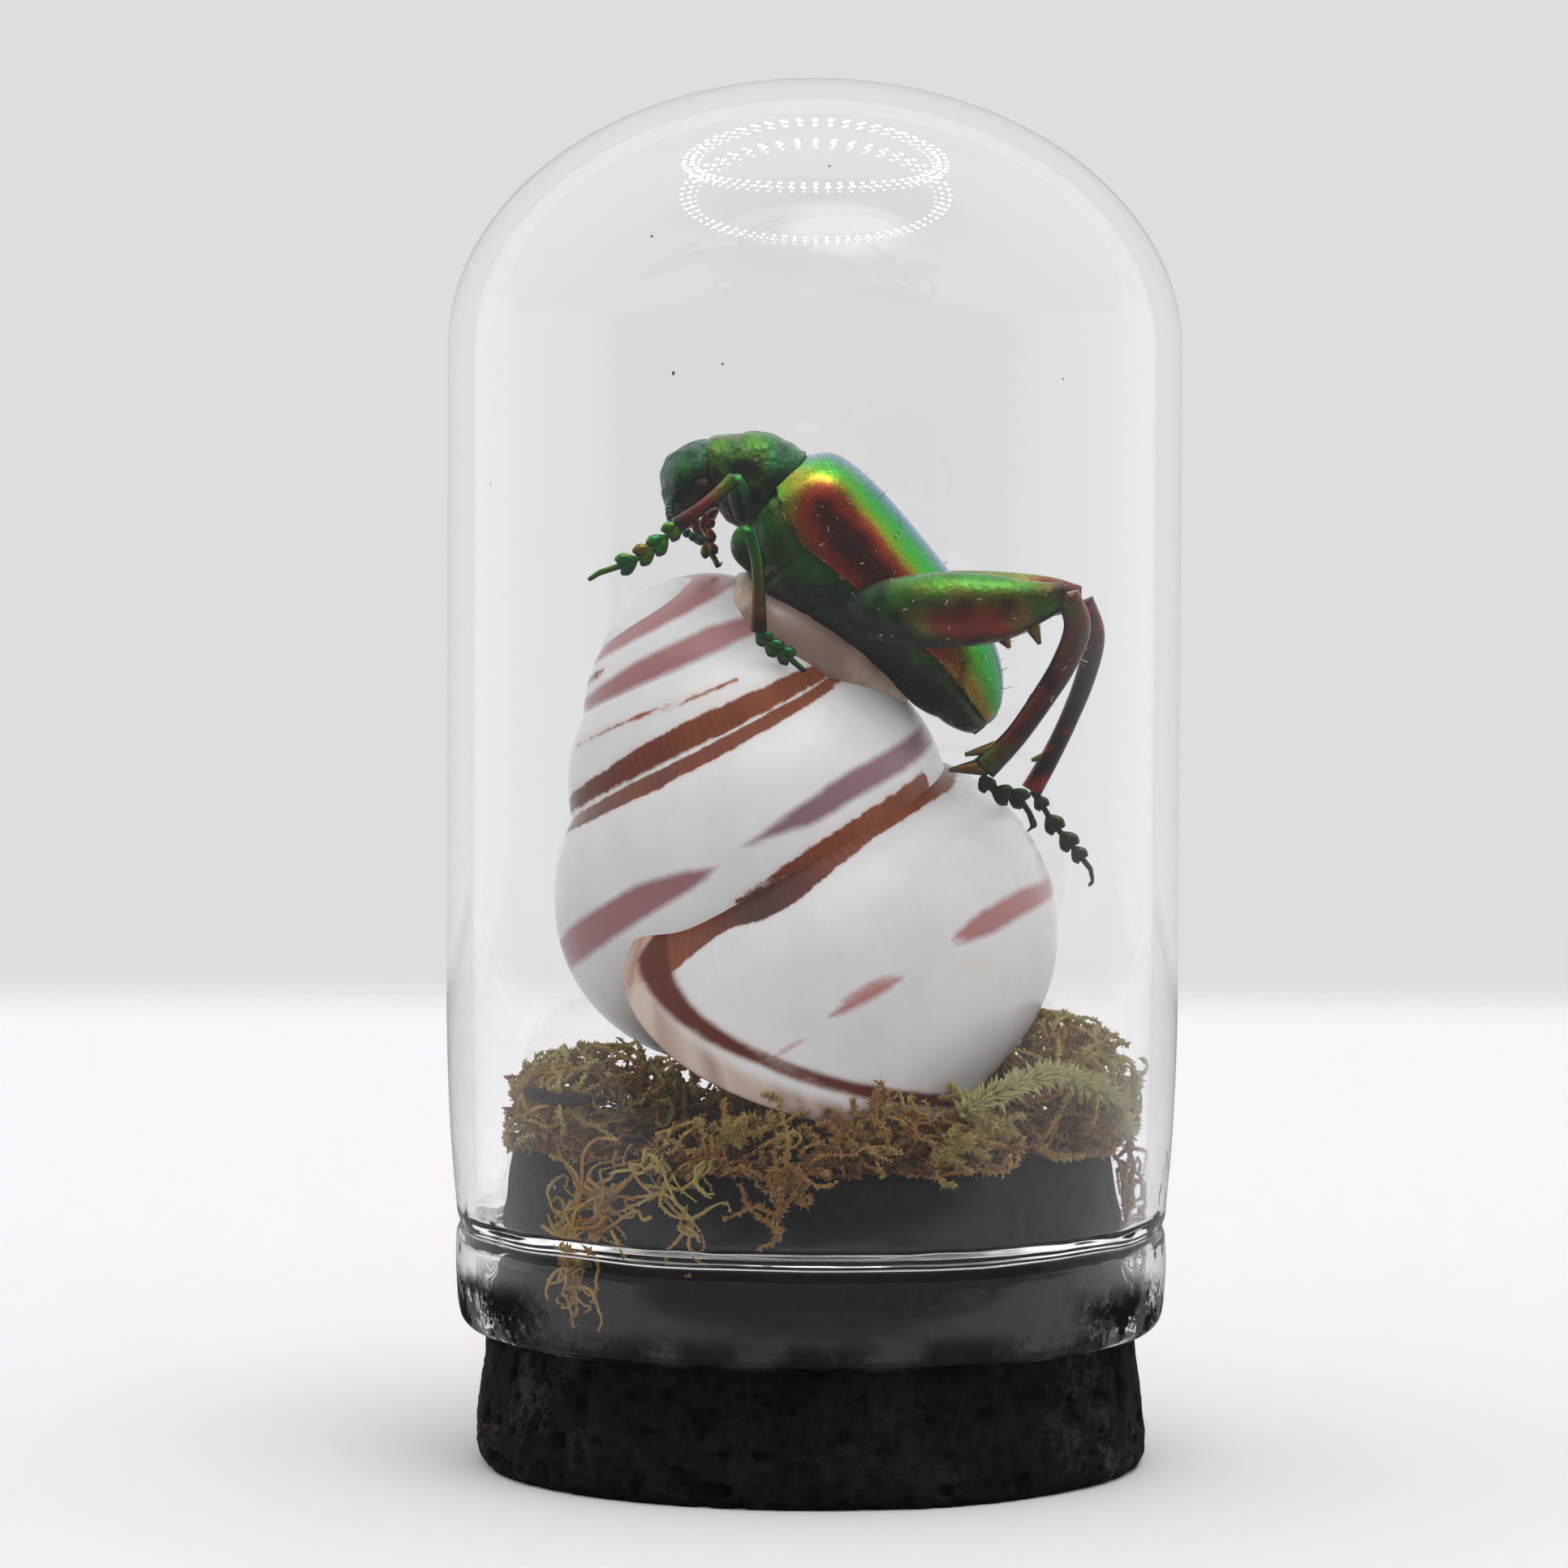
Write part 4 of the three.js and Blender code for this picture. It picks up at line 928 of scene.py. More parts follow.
# ------------------------------------------------------------------ cork stopper
@dataclass
class CorkStopper:
    """A tapered cork, stained black, rough and pitted round its side."""

    height: float = 16.8
    foot: float = 17.0
    top: float = 15.5
    around: int = 460
    rows: int = 110

    def surface(self) -> Surface:
        """Turns the outline and sinks grain, pits and chips into the side.

        The depth is a sum of noises: lumps 3 mm wide, grain 0.8 mm and 0.35 mm wide, and
        pits where a fourth noise is high. It fades out on the underside and the top.

        Returns:
            The closed cork.
        """
        side = smooth_rows([[17.25, 0.12], [17.5, 0.55], [17.58, 1.3], [17.5, 2.6], [17.2, 5], [16.8, 8],
            [16.3, 11.5], [15.95, 14], [15.6, 16.2], [15.45, 16.62], [15.1, 16.78]], self.rows)
        low = np.stack([np.linspace(0.05, 17.0, 12), np.zeros(12)], axis=-1)
        high = np.stack([np.linspace(14.8, 0.05, 10), np.full(10, self.height)], axis=-1)
        outline = np.vstack([low, side, high])
        turn = np.linspace(0, FULL_TURN, self.around, endpoint=False)
        grid = np.stack([outline[:, 0, None] * np.cos(turn), outline[:, 0, None] * np.sin(turn),
            outline[:, 1, None] + 0 * turn], axis=-1)
        depth = (0.16 * (1 + lattice_noise(grid, 3.2, 1)) + 0.07 * lattice_noise(grid, 0.8, 2) + 0.045
            * lattice_noise(grid, 0.35, 3) + 0.35 * smooth_step(0.35, 0.7, lattice_noise(grid, 0.9, 4)))
        grid[..., :2] *= (1 - np.maximum(depth, 0) * smooth_step(15.0, 16.6, outline[:, :1] + 0 * turn)
            / 17.0)[..., None]
        return Surface.from_grid(grid)

    def dress(self) -> bpy.types.Material:
        """Makes the agglomerated cork: crushed bark granules, stained black and quite matte.

        Where the stain has worn, the granules show as grey-brown flecks up to 0.8 mm wide; they are
        kept mostly to the left and right flanks, as painted light on the sides.

        Returns:
            The material.
        """
        material, tree = blank_material("black_stained_cork")
        place = add(tree, "TexCoord").outputs["Object"]
        grain = add(tree, "TexNoise", {"Vector": place, "Scale": 1 / (0.5 * MM), "Detail": 6.0,
            "Roughness": 0.7})
        granule = add(tree, "TexVoronoi", {"Vector": place, "Scale": 1 / (0.8 * MM), "Randomness": 1.0})
        wear = add(tree, "TexNoise", {"Vector": place, "Scale": 1 / (3.0 * MM), "Detail": 3.0})
        worn = add(tree, "Math", {0: wear, 1: 0.9, 2: grain}, operation="MULTIPLY_ADD")
        across = add(tree, "Math", {0: add(tree, "SeparateXYZ", {0: place})}, operation="ABSOLUTE")
        # painted light: the worn flecks show mostly on the left and right flanks and only faintly on the
        # front
        flank = add(tree, "MapRange", {0: across, 1: 11 * MM, 2: 17 * MM, 3: 0.12, 4: 1.0})
        patchy = add(tree, "MapRange", {0: worn, 1: 0.96, 2: 1.2, 3: 0.0, 4: 0.75})
        share = add(tree, "Math", {0: patchy, 1: flank}, operation="MULTIPLY")
        base = add(tree, "ValToRGB", {0: granule.outputs["Distance"]},
            stops=[(0.1, "#070608"), (0.7, "#0f0e12")])
        colour = add(tree, "Mix", {0: share, 6: base, 7: linear("#4b413b")}, data_type="RGBA")
        relief = add(tree, "Bump", {"Height": grain, "Strength": 0.9, "Distance": 0.25 * MM})
        shader = add(tree, "BsdfPrincipled", {"Base Color": colour.outputs[2], "Roughness": 0.85,
            "Specular IOR Level": 0.2, "Normal": relief})
        add(tree, "OutputMaterial", {0: shader})
        return material

    def make(self) -> bpy.types.Object:
        """Builds and dresses the cork, and returns it."""
        return self.surface().build("black_cork_stopper", self.dress(), "black_cork", ("cork_stopper",))


# ------------------------------------------------------------------ beetle
class Tone(Enum):
    """Places along the cuticle's one series of structural colours, from thin to thick."""

    COPPER = 0.14
    LEAF = 0.48
    EMERALD = 0.62


@dataclass(frozen=True)
class Cuticle:
    """Insect cuticle: chitin in thin layers that colour the light they reflect, like metal.

    The value "tone" picks the colour from one series, and "shade" darkens it: painted shade under and
    between parts, and cuticle that is dark of itself.
    Fine pits are pits mm apart. The tone drifts by that much from place to place.
    """

    name: str
    roughness: float = 0.3
    pits: float = 0.22
    depth: float = 0.02
    metal: float = 1.0
    drift: float = 0.2

    def dress(self) -> bpy.types.Material:
        """Makes the material, and returns it."""
        material, tree = blank_material(self.name)
        place = add(tree, "TexCoord").outputs["Object"]
        tone = add(tree, "Attribute", attribute_name="tone").outputs["Fac"]
        shade = add(tree, "Attribute", attribute_name="shade").outputs["Fac"]
        cloud = add(tree, "TexNoise", {"Vector": place, "Scale": 1 / (1.1 * MM), "Detail": 5.0,
            "Roughness": 0.65})
        grit = add(tree, "TexNoise", {"Vector": place, "Scale": 1 / (0.16 * MM), "Detail": 3.0})
        dots = add(tree, "TexVoronoi", {"Vector": place, "Scale": 1 / (self.pits * MM)})
        drift = add(tree, "Math", {0: cloud, 1: self.drift, 2: -self.drift / 2}, operation="MULTIPLY_ADD")
        moved = add(tree, "Math", {0: tone, 1: drift}, operation="ADD")
        series = add(tree, "ValToRGB", {0: moved},
            stops=[(0.0, "#2c1a24"), (0.08, "#4e150e"), (0.18, "#a0301a"), (0.26, "#924c18"),
            (0.34, "#8e8018"), (0.45, "#589418"), (0.58, "#18942a"), (0.7, "#0a8248"), (0.82, "#0a7080"),
            (0.93, "#1f5a96"), (1.0, "#2b3a78")])
        # painted shade: the shade value mixes the colour towards near-black, as well as darkening parts that
        # are dark of themselves
        darkened = add(tree, "Mix", {0: shade, 6: series, 7: linear("#070a08")}, data_type="RGBA")
        worn = add(tree, "MapRange", {0: grit, 1: 0.3, 2: 0.75, 3: 0.88, 4: 1.08})
        lit = add(tree, "Mix", {0: 1.0, 6: darkened.outputs[2], 7: worn}, data_type="RGBA",
            blend_type="MULTIPLY")
        pitted = add(tree, "Bump", {"Height": dots.outputs["Distance"], "Strength": 0.5,
            "Distance": self.depth * MM})
        uneven = add(tree, "Bump", {"Height": cloud, "Strength": 0.35, "Distance": 0.12 * MM,
            "Normal": pitted})
        rough = add(tree, "MapRange", {0: grit, 1: 0.3, 2: 0.7, 3: self.roughness - 0.07,
            4: self.roughness + 0.1})
        shader = add(tree, "BsdfPrincipled", {"Base Color": lit.outputs[2], "Metallic": self.metal,
            "Roughness": rough, "Coat Weight": 0.3, "Coat Roughness": 0.2, "Normal": uneven})
        add(tree, "OutputMaterial", {0: shader})
        return material


@dataclass(frozen=True)
class Limb:
    """One leg: its femur, tibia, lobed tarsus and claws, as stations of x, y, z and radius."""

    side: str
    femur: tuple[tuple[float, ...], ...]
    tibia: tuple[tuple[float, ...], ...]
    pads: tuple[tuple[float, ...], ...]
    claw: Vec
    tips: tuple[Vec, ...]
    spurs: tuple[tuple[tuple[float, ...], tuple[float, ...]], ...] = ()
    flat: float = 0.75
    femur_tone: tuple[float, ...] = (Tone.LEAF.value, Tone.EMERALD.value)
    tibia_tone: tuple[float, ...] = (Tone.LEAF.value, Tone.COPPER.value)
    foot_tone: float = Tone.EMERALD.value
    foot_shade: float = 0.84
    tibia_shade: float = 0.55

    def surface(self) -> Surface:
        """Builds the leg, with its colour tone and its shade as values.

        Returns:
            The femur, tibia, spurs, pads and claws as one surface.
        """
        femur = limb(self.femur, 48, 28, self.flat)
        along = femur.values["along"]
        # painted shade: each femur darkens towards the body that it joins
        femur.values |= {"tone": np.interp(along, np.linspace(0, 1, len(self.femur_tone)), self.femur_tone),
            "shade": 0.25 + 0.25 * (1 - along)}
        if self.side.startswith("hind"):
            self.patched(femur)
        tibia = limb(self.tibia, 40, 16, 0.85)
        along = tibia.values["along"]
        tibia.values |= {"tone": np.interp(along, np.linspace(0, 1, len(self.tibia_tone)), self.tibia_tone),
            "shade": self.tibia_shade + 0 * along}
        tibia.values["tone"] += 0.12 * lattice_noise(tibia.points, 0.9, 5)
        parts = [femur, tibia]
        for root, tip in self.spurs:
            middle = tuple((a + b) / 2 for a, b in zip(root, tip))
            spur = limb([root, middle, tip], 8, 8)
            spur.values |= {"tone": 0.3 + 0 * spur.values["along"], "shade": 0.3 + 0 * spur.values["along"]}
            parts.append(spur)
        return Surface.joined(parts + self.foot())

    def foot(self) -> list[Surface]:
        """Builds the tarsus: heart-shaped pads on a thin stalk, then a curved pair of claws.

        Returns:
            The pieces.
        """
        ankle = np.array(self.tibia[-1][:3])
        spots = np.array([ankle, *[pad[:3] for pad in self.pads], self.claw])
        ahead = unit(np.gradient(spots, axis=0))
        parts = [limb([(*spot, 0.17) for spot in spots[:-1]] + [(*self.claw, 0.16)], 24, 10)]
        for spot, way, pad in zip(spots[1:-1], ahead[1:-1], self.pads):
            side = unit(np.cross(way, [0.25, 0.9, 0.3]))
            for sign in (-1, 1):
                root = spot - way * pad[3] * 0.8
                tip = spot + way * pad[3] * 0.85 + sign * side * pad[3] * 0.75
                rows = [(*root, 0.14), (*(0.6 * root + 0.4 * tip), pad[3] * 0.5),
                    (*(0.25 * root + 0.75 * tip), pad[3] * 0.52), (*tip, pad[3] * 0.12)]
                parts.append(limb(rows, 14, 12, 0.85))
        for tip in self.tips:
            start, end = np.array(self.claw), np.array(tip)
            bend = (start + end) / 2 + unit(start - ankle) * 0.28
            parts.append(limb([(*start, 0.15), (*bend, 0.1), (*end, 0.035)], 12, 8))
        for part in parts:
            zero = 0 * part.values["along"]
            part.values |= {"tone": self.foot_tone + 0.22 * lattice_noise(part.points, 0.8, 7),
                "shade": self.foot_shade + zero}
        return parts

    def patched(self, femur: Surface) -> None:
        """Colours the femur: a copper patch low on its side, a gold-green upper edge lightened as a
        painted highlight, and painted shade towards its root by the body.

        Args:
            femur: The femur, whose tone and shade are changed.
        """
        x, _, z = femur.points.T
        middle = np.interp(x, [s[0] for s in self.femur], [s[2] for s in self.femur])
        low, high = z - middle + 0.8, z - middle - 1.3
        patch = np.exp(-(((x - 8.4) / 3.4) ** 2) - (low / 1.1) ** 2)
        edge = np.exp(-((high / 0.5) ** 2)) * smooth_step(2.0, 6.0, x)
        darkened = np.exp(-(((z - middle - 0.5) / 0.6) ** 2)) * smooth_step(4.5, 8.0, x)
        drift = 0.1 * lattice_noise(femur.points, 1.5, 3)
        femur.values["tone"] += -0.4 * patch**0.7 - 0.12 * edge - 0.14 * darkened + drift
        # painted shade: darker towards the root where the femur meets the body; the upper edge's lightening
        # is a painted highlight
        root, grain = smooth_step(5.5, 1.5, x), lattice_noise(femur.points, 0.7, 6)
        shade = 0.62 - 0.62 * patch - 0.45 * edge + 0.25 * darkened + 0.5 * root + 0.25 * grain
        femur.values["shade"] = np.clip(shade, 0, 0.93)


@dataclass
class Beetle:
    """A frog-legged leaf beetle, 21 mm long, that sits across the shell's upper whorls.

    Trunk stations are s along it, then the heights of its back, edge and belly above its own
    line, and its half-width. Fore-body stations are x, z, half-height and half-width.
    """

    origin: Vec = (-1.5, 0.0, 49.5)
    slope: float = 49.0
    wall: float = 0.55
    parting: float = 0.12
    trunk_rows: tuple[tuple[float, ...], ...] = ((-1.5, 2.9, 0.6, -0.6, 2.6), (-0.6, 4.0, 0.2, -1.9, 3.4),
        (1.5, 4.5, -0.2, -3.5, 3.9), (3.9, 4.6, 0.2, -4.2, 4.1), (6.5, 4.55, 0.6, -3.1, 4.1),
        (9.2, 4.4, 1.0, -1.8, 3.9), (11.6, 4.05, 1.1, -1.1, 3.3), (13.4, 3.3, 1.0, -0.5, 2.4),
        (14.6, 2.3, 0.9, 0.0, 1.5), (15.1, 1.5, 0.9, 0.3, 0.8))
    pronotum_rows: tuple[tuple[float, ...], ...] = ((-1.35, 50.35, 1.7, 1.9), (-1.75, 50.6, 2.25, 2.3),
        (-2.3, 50.95, 2.55, 2.5), (-3.2, 51.3, 2.55, 2.45), (-4.2, 51.5, 2.3, 2.4), (-4.9, 51.55, 2.0, 2.2),
        (-5.35, 51.5, 1.7, 1.9), (-5.6, 51.45, 1.2, 1.3), (-5.68, 51.4, 0.5, 0.5))
    head_rows: tuple[tuple[float, ...], ...] = ((-4.7, 51.3, 1.2, 1.1), (-5.2, 51.5, 1.7, 1.65),
        (-5.8, 51.35, 1.95, 1.9), (-6.4, 50.8, 1.75, 1.8), (-6.9, 50.1, 1.2, 1.45), (-7.2, 49.6, 0.7, 1.0),
        (-7.35, 49.35, 0.35, 0.6))
    case_tones: tuple[tuple[float, ...], ...] = ((0.45, 0.4, 0.36, 0.38, 0.5, 0.62, 0.76, 0.86, 0.94),
        (0.3, 0.14, 0.06, 0.18, 0.42, 0.58, 0.76, 0.87, 0.94),
        (0.22, 0.07, 0.04, 0.14, 0.42, 0.58, 0.76, 0.87, 0.94),
        (0.18, 0.06, 0.08, 0.28, 0.48, 0.6, 0.76, 0.87, 0.94),
        (0.18, 0.1, 0.22, 0.42, 0.52, 0.62, 0.76, 0.86, 0.93),
        (0.34, 0.3, 0.46, 0.54, 0.62, 0.7, 0.78, 0.84, 0.92))
    elytra: Cuticle = Cuticle("elytra_cuticle", 0.26, 0.3, 0.012, drift=0.12)
    armour: Cuticle = Cuticle("body_cuticle", 0.42, 0.34, 0.14, 0.8, 0.3)
    leg_skin: Cuticle = Cuticle("leg_cuticle", 0.36, 0.3, 0.06, 0.85, 0.26)

    def in_trunk(self, s: Array, y: Array, h: Array) -> Array:
        """Turns trunk measures into places.

        Args:
            s: Distance along the trunk.
            y: Sideways, the beetle's left being towards the front view.
            h: Height above the trunk's line.

        Returns:
            Points.
        """
        slope = math.radians(self.slope)
        x = self.origin[0] + s * math.cos(slope) + h * math.sin(slope)
        z = self.origin[2] - s * math.sin(slope) + h * math.cos(slope)
        return np.stack(np.broadcast_arrays(x, self.origin[1] + y, z), axis=-1)

    def elytron(self, side: int) -> Surface:
        """Makes one wing case as a thin curved plate.

        Its section is a quarter of an ellipse from the side edge to the parting, and the
        same one set in by the plate's thickness. The shoulder swells a little.

        Args:
            side: -1 for the near one, 1 for the far one.

        Returns:
            The closed plate, with its colour tone.
        """
        s, back, edge, _, width = smooth_rows(self.trunk_rows, 110).T[:, :, None]
        share = np.linspace(0, 1, 40)[None, :]
        turn = share * math.pi / 2

        def arc(inset: float) -> Array:
            """Returns the section's points, set in by that much."""
            shoulder = 0.3 * np.exp(-(((s - 0.6) / 1.3) ** 2)) * np.exp(-(((share - 0.5) / 0.22) ** 2))
            w = np.maximum(width - inset, 0.1) + shoulder
            rise = np.maximum(back - edge - inset, 0.1) + shoulder
            across = np.maximum(w * np.cos(turn), self.parting / 2)
            return self.in_trunk(s, side * across, edge + rise * np.sin(turn) ** 0.9)

        outer, inner = arc(0.0), arc(self.wall)[:, ::-1]
        knots = np.linspace(0, 1, 9)
        rows = np.array([np.interp(share[0], knots, row) for row in self.case_tones])
        at = np.interp(s[:, 0], (-1.2, 0.9, 3.0, 6.0, 9.0, 12.5), np.arange(6.0))
        low = np.minimum(at.astype(int), 4)
        blend = smooth_step(0.0, 1.0, at - low)[:, None]
        tone = rows[low] * (1 - blend) + rows[low + 1] * blend
        tone = np.hstack([tone, tone[:, ::-1] * 0 + 0.5])
        seam = np.exp(-(((share - 0.03) / 0.02) ** 2)) * smooth_step(9.0, 7.5, s)
        shade = np.hstack([0.0 * seam, 0.6 + 0 * seam])
        return Surface.from_grid(np.concatenate([outer, inner], axis=1),
            values={"tone": tone, "shade": shade})

    def trunk(self) -> Surface:
        """Makes thorax and abdomen: an oval section with plates that step along it.

        The lower half is bowed from edge to edge, and its plates rise and fall by a tenth of
        a millimetre as a rounded saw wave of s.

        Returns:
            The closed trunk.
        """
        s, back, edge, belly, width = smooth_rows(self.trunk_rows, 130).T[:, :, None]
        upper = np.radians(np.linspace(6, 174, 26))[None, :]
        lower = np.radians(np.linspace(180, 360, 40, endpoint=False))[None, :]
        inset = self.wall + 0.12
        top = self.in_trunk(s, -np.maximum(width - inset, 0.1) * np.cos(upper),
            edge + np.maximum(back - edge - inset, 0.1) * np.sin(upper) ** 0.9)
        plates = np.where(s > 6.2, 0.14 * np.abs(np.sin((s - 6.2) * math.pi / 1.75)) ** 0.5, 0)
        fore, hind = s - 2.0, s - 4.6 + lower * 0
        groove = 0.2 * np.exp(-((fore / 0.12) ** 2)) + 0.2 * np.exp(-((hind / 0.12) ** 2))
        fall = np.maximum(edge - belly, 0.3) * (1 + 0 * lower) + plates - groove
        low = self.in_trunk(s, -(width * 0.86 - 0.5 * groove + 0.3 * plates) * np.cos(lower),
            edge - 0.3 + fall * np.sin(lower))
        points = np.concatenate([top, low], axis=1)
        depth = np.concatenate([0 * np.sin(upper) + 0 * s, -np.sin(lower) + 0 * s], axis=1)
        drift, grime = lattice_noise(points, 1.8, 8), lattice_noise(points, 1.3, 12)
        tone = 0.48 + 0.1 * depth + 0.14 * smooth_step(6, 10, s) * depth + 0.16 * drift
        # painted shade darkens the lower half; the trunk also darkens towards its rear and mottles at random
        shade = 0.62 + 0.2 * smooth_step(0.35, 1.0, depth) + 0.14 * smooth_step(6.5, 9.5, s) + 0.3 * grime
        return Surface.from_grid(points, values={"tone": tone, "shade": np.clip(shade, 0, 0.92) + 0 * s})

    def fore_body(self, rows: tuple[tuple[float, ...], ...], count: int) -> Surface:
        """Makes the pronotum or the head: ellipses square to the line through their middles.

        Args:
            rows: Stations of x, z, half-height and half-width.
            count: Rings along it.

        Returns:
            The closed form, with the value "over" 1 on top and -1 below.
        """
        x, z, tall, wide = smooth_rows(rows, count).T
        line = np.stack([x, 0 * x, z], axis=-1)
        way = unit(np.gradient(line, axis=0))
        up = np.stack([way[:, 2], 0 * x, -way[:, 0]], axis=-1)
        up = np.where(up[:, 2:] < 0, -up, up)
        turn = np.linspace(0, FULL_TURN, 48, endpoint=False)
        points = (line[:, None] + np.maximum(tall, 0.05)[:, None, None] * np.sin(turn)[:, None]
            * up[:, None] + np.maximum(wide, 0.05)[:, None, None] * np.cos(turn)[:, None]
            * np.array([0.0, 1.0, 0.0]))
        dents = 0.13 * lattice_noise(points, 0.5, 9) + 0.2 * lattice_noise(points, 1.4, 4)
        points = points + dents[..., None] * unit(points - line[:, None])
        over = np.sin(turn)[None, :] + 0 * x[:, None]
        return Surface.from_grid(points, values={"over": over})

    def pronotum(self) -> Surface:
        """Makes the pronotum: leaf green on top, and darkened below by painted shade."""
        made = self.fore_body(self.pronotum_rows, 56)
        over = made.values["over"]
        made.values |= {"tone": 0.43 + 0.04 * over + 0.2 * smooth_step(-3.0, -1.8, made.points[:, 0]),
            "shade": 0.5 + 0.4 * smooth_step(0.85, 0.3, over) + 0.3 * lattice_noise(made.points, 0.8, 12)}
        return made

    def head(self) -> Surface:
        """Makes the head: the face, two dark eyes, jaws, palps and the antennae's sockets."""
        face = self.fore_body(self.head_rows, 48)
        over = face.values["over"]
        # painted shade: the face darkens on its underside
        face.values |= {"tone": 0.6 + 0.1 * over, "shade": 0.72 + 0.2 * smooth_step(0.6, -0.4, over)}
        parts = [face]
        for side in (-1, 1):
            eye = ball((-5.75, side * 1.66, 50.75), (0.62, 0.42, 0.75), 24, 16)
            jaw = ball((-7.25, side * 0.42, 49.35), (0.42, 0.36, 0.5), 16, 10)
            socket = ball((-7.05, side * 0.95, 50.05), (0.4, 0.4, 0.4), 14, 10)
            palp = limb([(-6.5, side * 0.5, 49.9, 0.22), (-6.25, side * 0.6, 49.2, 0.28),
                (-6.1, side * 0.65, 48.7, 0.2), (-5.95, side * 0.65, 48.2, 0.34),
                (-5.85, side * 0.6, 47.9, 0.12)], 26, 12)
            for part, tone, shade in ((eye, 0.2, 0.93), (jaw, 0.9, 0.8), (socket, 0.7, 0.75),
                (palp, 0.15, 0.3)):
                blank = np.zeros(len(part.points))
                part.values |= {"tone": blank + tone, "shade": blank + shade}
                parts.append(part)
        return Surface.joined(parts)

    def antenna(self, side: int) -> Surface:
        """Makes one antenna: a bowed string of eleven beads beside the head.

        Args:
            side: -1 for the near one, 1 for the far one.

        Returns:
            The closed antenna.
        """
        f = np.linspace(0, 1, 132)[:, None]
        a, b, c = (np.array(p) for p in ((-7.3, side * 1.45, 50.35), (-8.0, side * 3.0, 49.2),
            (-5.6, side * 4.1, 48.3)))
        path = (1 - f) ** 2 * a + 2 * f * (1 - f) * b + f**2 * c
        beads = 0.12 + 0.13 * np.abs(np.sin(f[:, 0] * 11 * math.pi)) ** 0.6 * (0.75 + 0.4 * f[:, 0])
        beads[[0, -1]] = 0.03
        made = tubes(path[None], beads[None], 12)
        made.values |= {"tone": 0.75 + 0 * made.values["along"], "shade": 0.75 + 0 * made.values["along"]}
        return made

    def dust(self, hosts: list[Surface], count: int) -> Surface:
        """Scatters pale lint and specks over surfaces.

        A face is picked by a fixed random draw; a short bent thread or a speck stands on it.

        Args:
            hosts: The surfaces.
            count: How many threads and specks.

        Returns:
            All of it as one surface.
        """
        draw = np.random.default_rng(11)
        host = Surface.joined(hosts)
        corners = host.points[host.quads]
        normal = np.cross(corners[:, 1] - corners[:, 0], corners[:, 2] - corners[:, 0])
        area = np.linalg.norm(normal, axis=1)
        seen = np.flatnonzero((area > 1e-6) & (corners[:, :, 2].mean(axis=1) > 40))
        chosen = draw.choice(seen, count, p=area[seen] / area[seen].sum())
        root = corners[chosen].mean(axis=1) + 0.01 * unit(normal[chosen])
        way = unit(unit(normal[chosen]) * 0.5 + unit(draw.normal(size=(count, 3))))
        length = draw.uniform(0.05, 0.55, (count, 1)) ** 1.4
        bend = unit(draw.normal(size=(count, 3))) * length * 0.3
        steps = np.linspace(0, 1, 5)[None, :, None]
        paths = root[:, None] + way[:, None] * length[:, None] * steps + bend[:, None] * steps**2
        thick = np.full((count, 5), 0.012) + draw.uniform(0, 0.014, (count, 1))
        return tubes(paths, thick, 4, 1.0, (0.3, 0.5, 0.81))

    @staticmethod
    def hollowed(surface: Surface) -> Surface:
        """Darkens what faces down, as painted shade with some grime, and returns the surface."""
        surface = surface.facing_out()
        down = smooth_step(0.25, -0.75, surface.upness())
        surface.values["shade"] = np.clip(surface.values["shade"] + 0.5 * down, 0, 0.96)
        return surface

    def lint(self) -> bpy.types.Material:
        """Makes the lint: cotton fibre, white and matte."""
        material, tree = blank_material("cotton_lint")
        share = add(tree, "Attribute", attribute_name="along").outputs["Fac"]
        tone = add(tree, "ValToRGB", {0: share}, stops=[(0.0, "#a8aaa0"), (1.0, "#dcdcd6")])
        shader = add(tree, "BsdfPrincipled", {"Base Color": tone, "Roughness": 0.8})
        add(tree, "OutputMaterial", {0: shader})
        return material

    def make(self) -> list[bpy.types.Object]:
        """Builds and dresses every piece of the beetle, and returns them."""
        wing, armour, skin = self.elytra.dress(), self.armour.dress(), self.leg_skin.dress()
        sides = (("left", -1), ("right", 1))
        made = {f"elytron_{name}": (self.elytron(sign), wing, "beetle_elytra", f"beetle_elytron_{name}")
            for name, sign in sides}
        made["trunk"] = (self.trunk(), armour, "beetle_body", "beetle_body")
        made["pronotum"] = (self.pronotum(), armour, "beetle_body", "beetle_pronotum")
        made["head"] = (self.head(), armour, "beetle_head", "beetle_head")
        made |= {f"antenna_{name}": (self.antenna(sign), armour, "beetle_head", f"beetle_antenna_{name}")
            for name, sign in sides}
        made |= {f"leg_{leg.side}": (leg.surface(), skin, "beetle_legs", f"beetle_{leg.side}_leg")
            for leg in LEGS}
        pieces = [self.hollowed(surface).build(name, material, slot, (node,))
            for name, (surface, material, slot, node) in made.items()]
        dusty = [made[name][0] for name in ("elytron_left", "elytron_right", "leg_hind_left",
            "leg_hind_right")]
        pieces.append(self.dust(dusty, 420).build("dust_on_beetle", self.lint(), "beetle_elytra"))
        return pieces


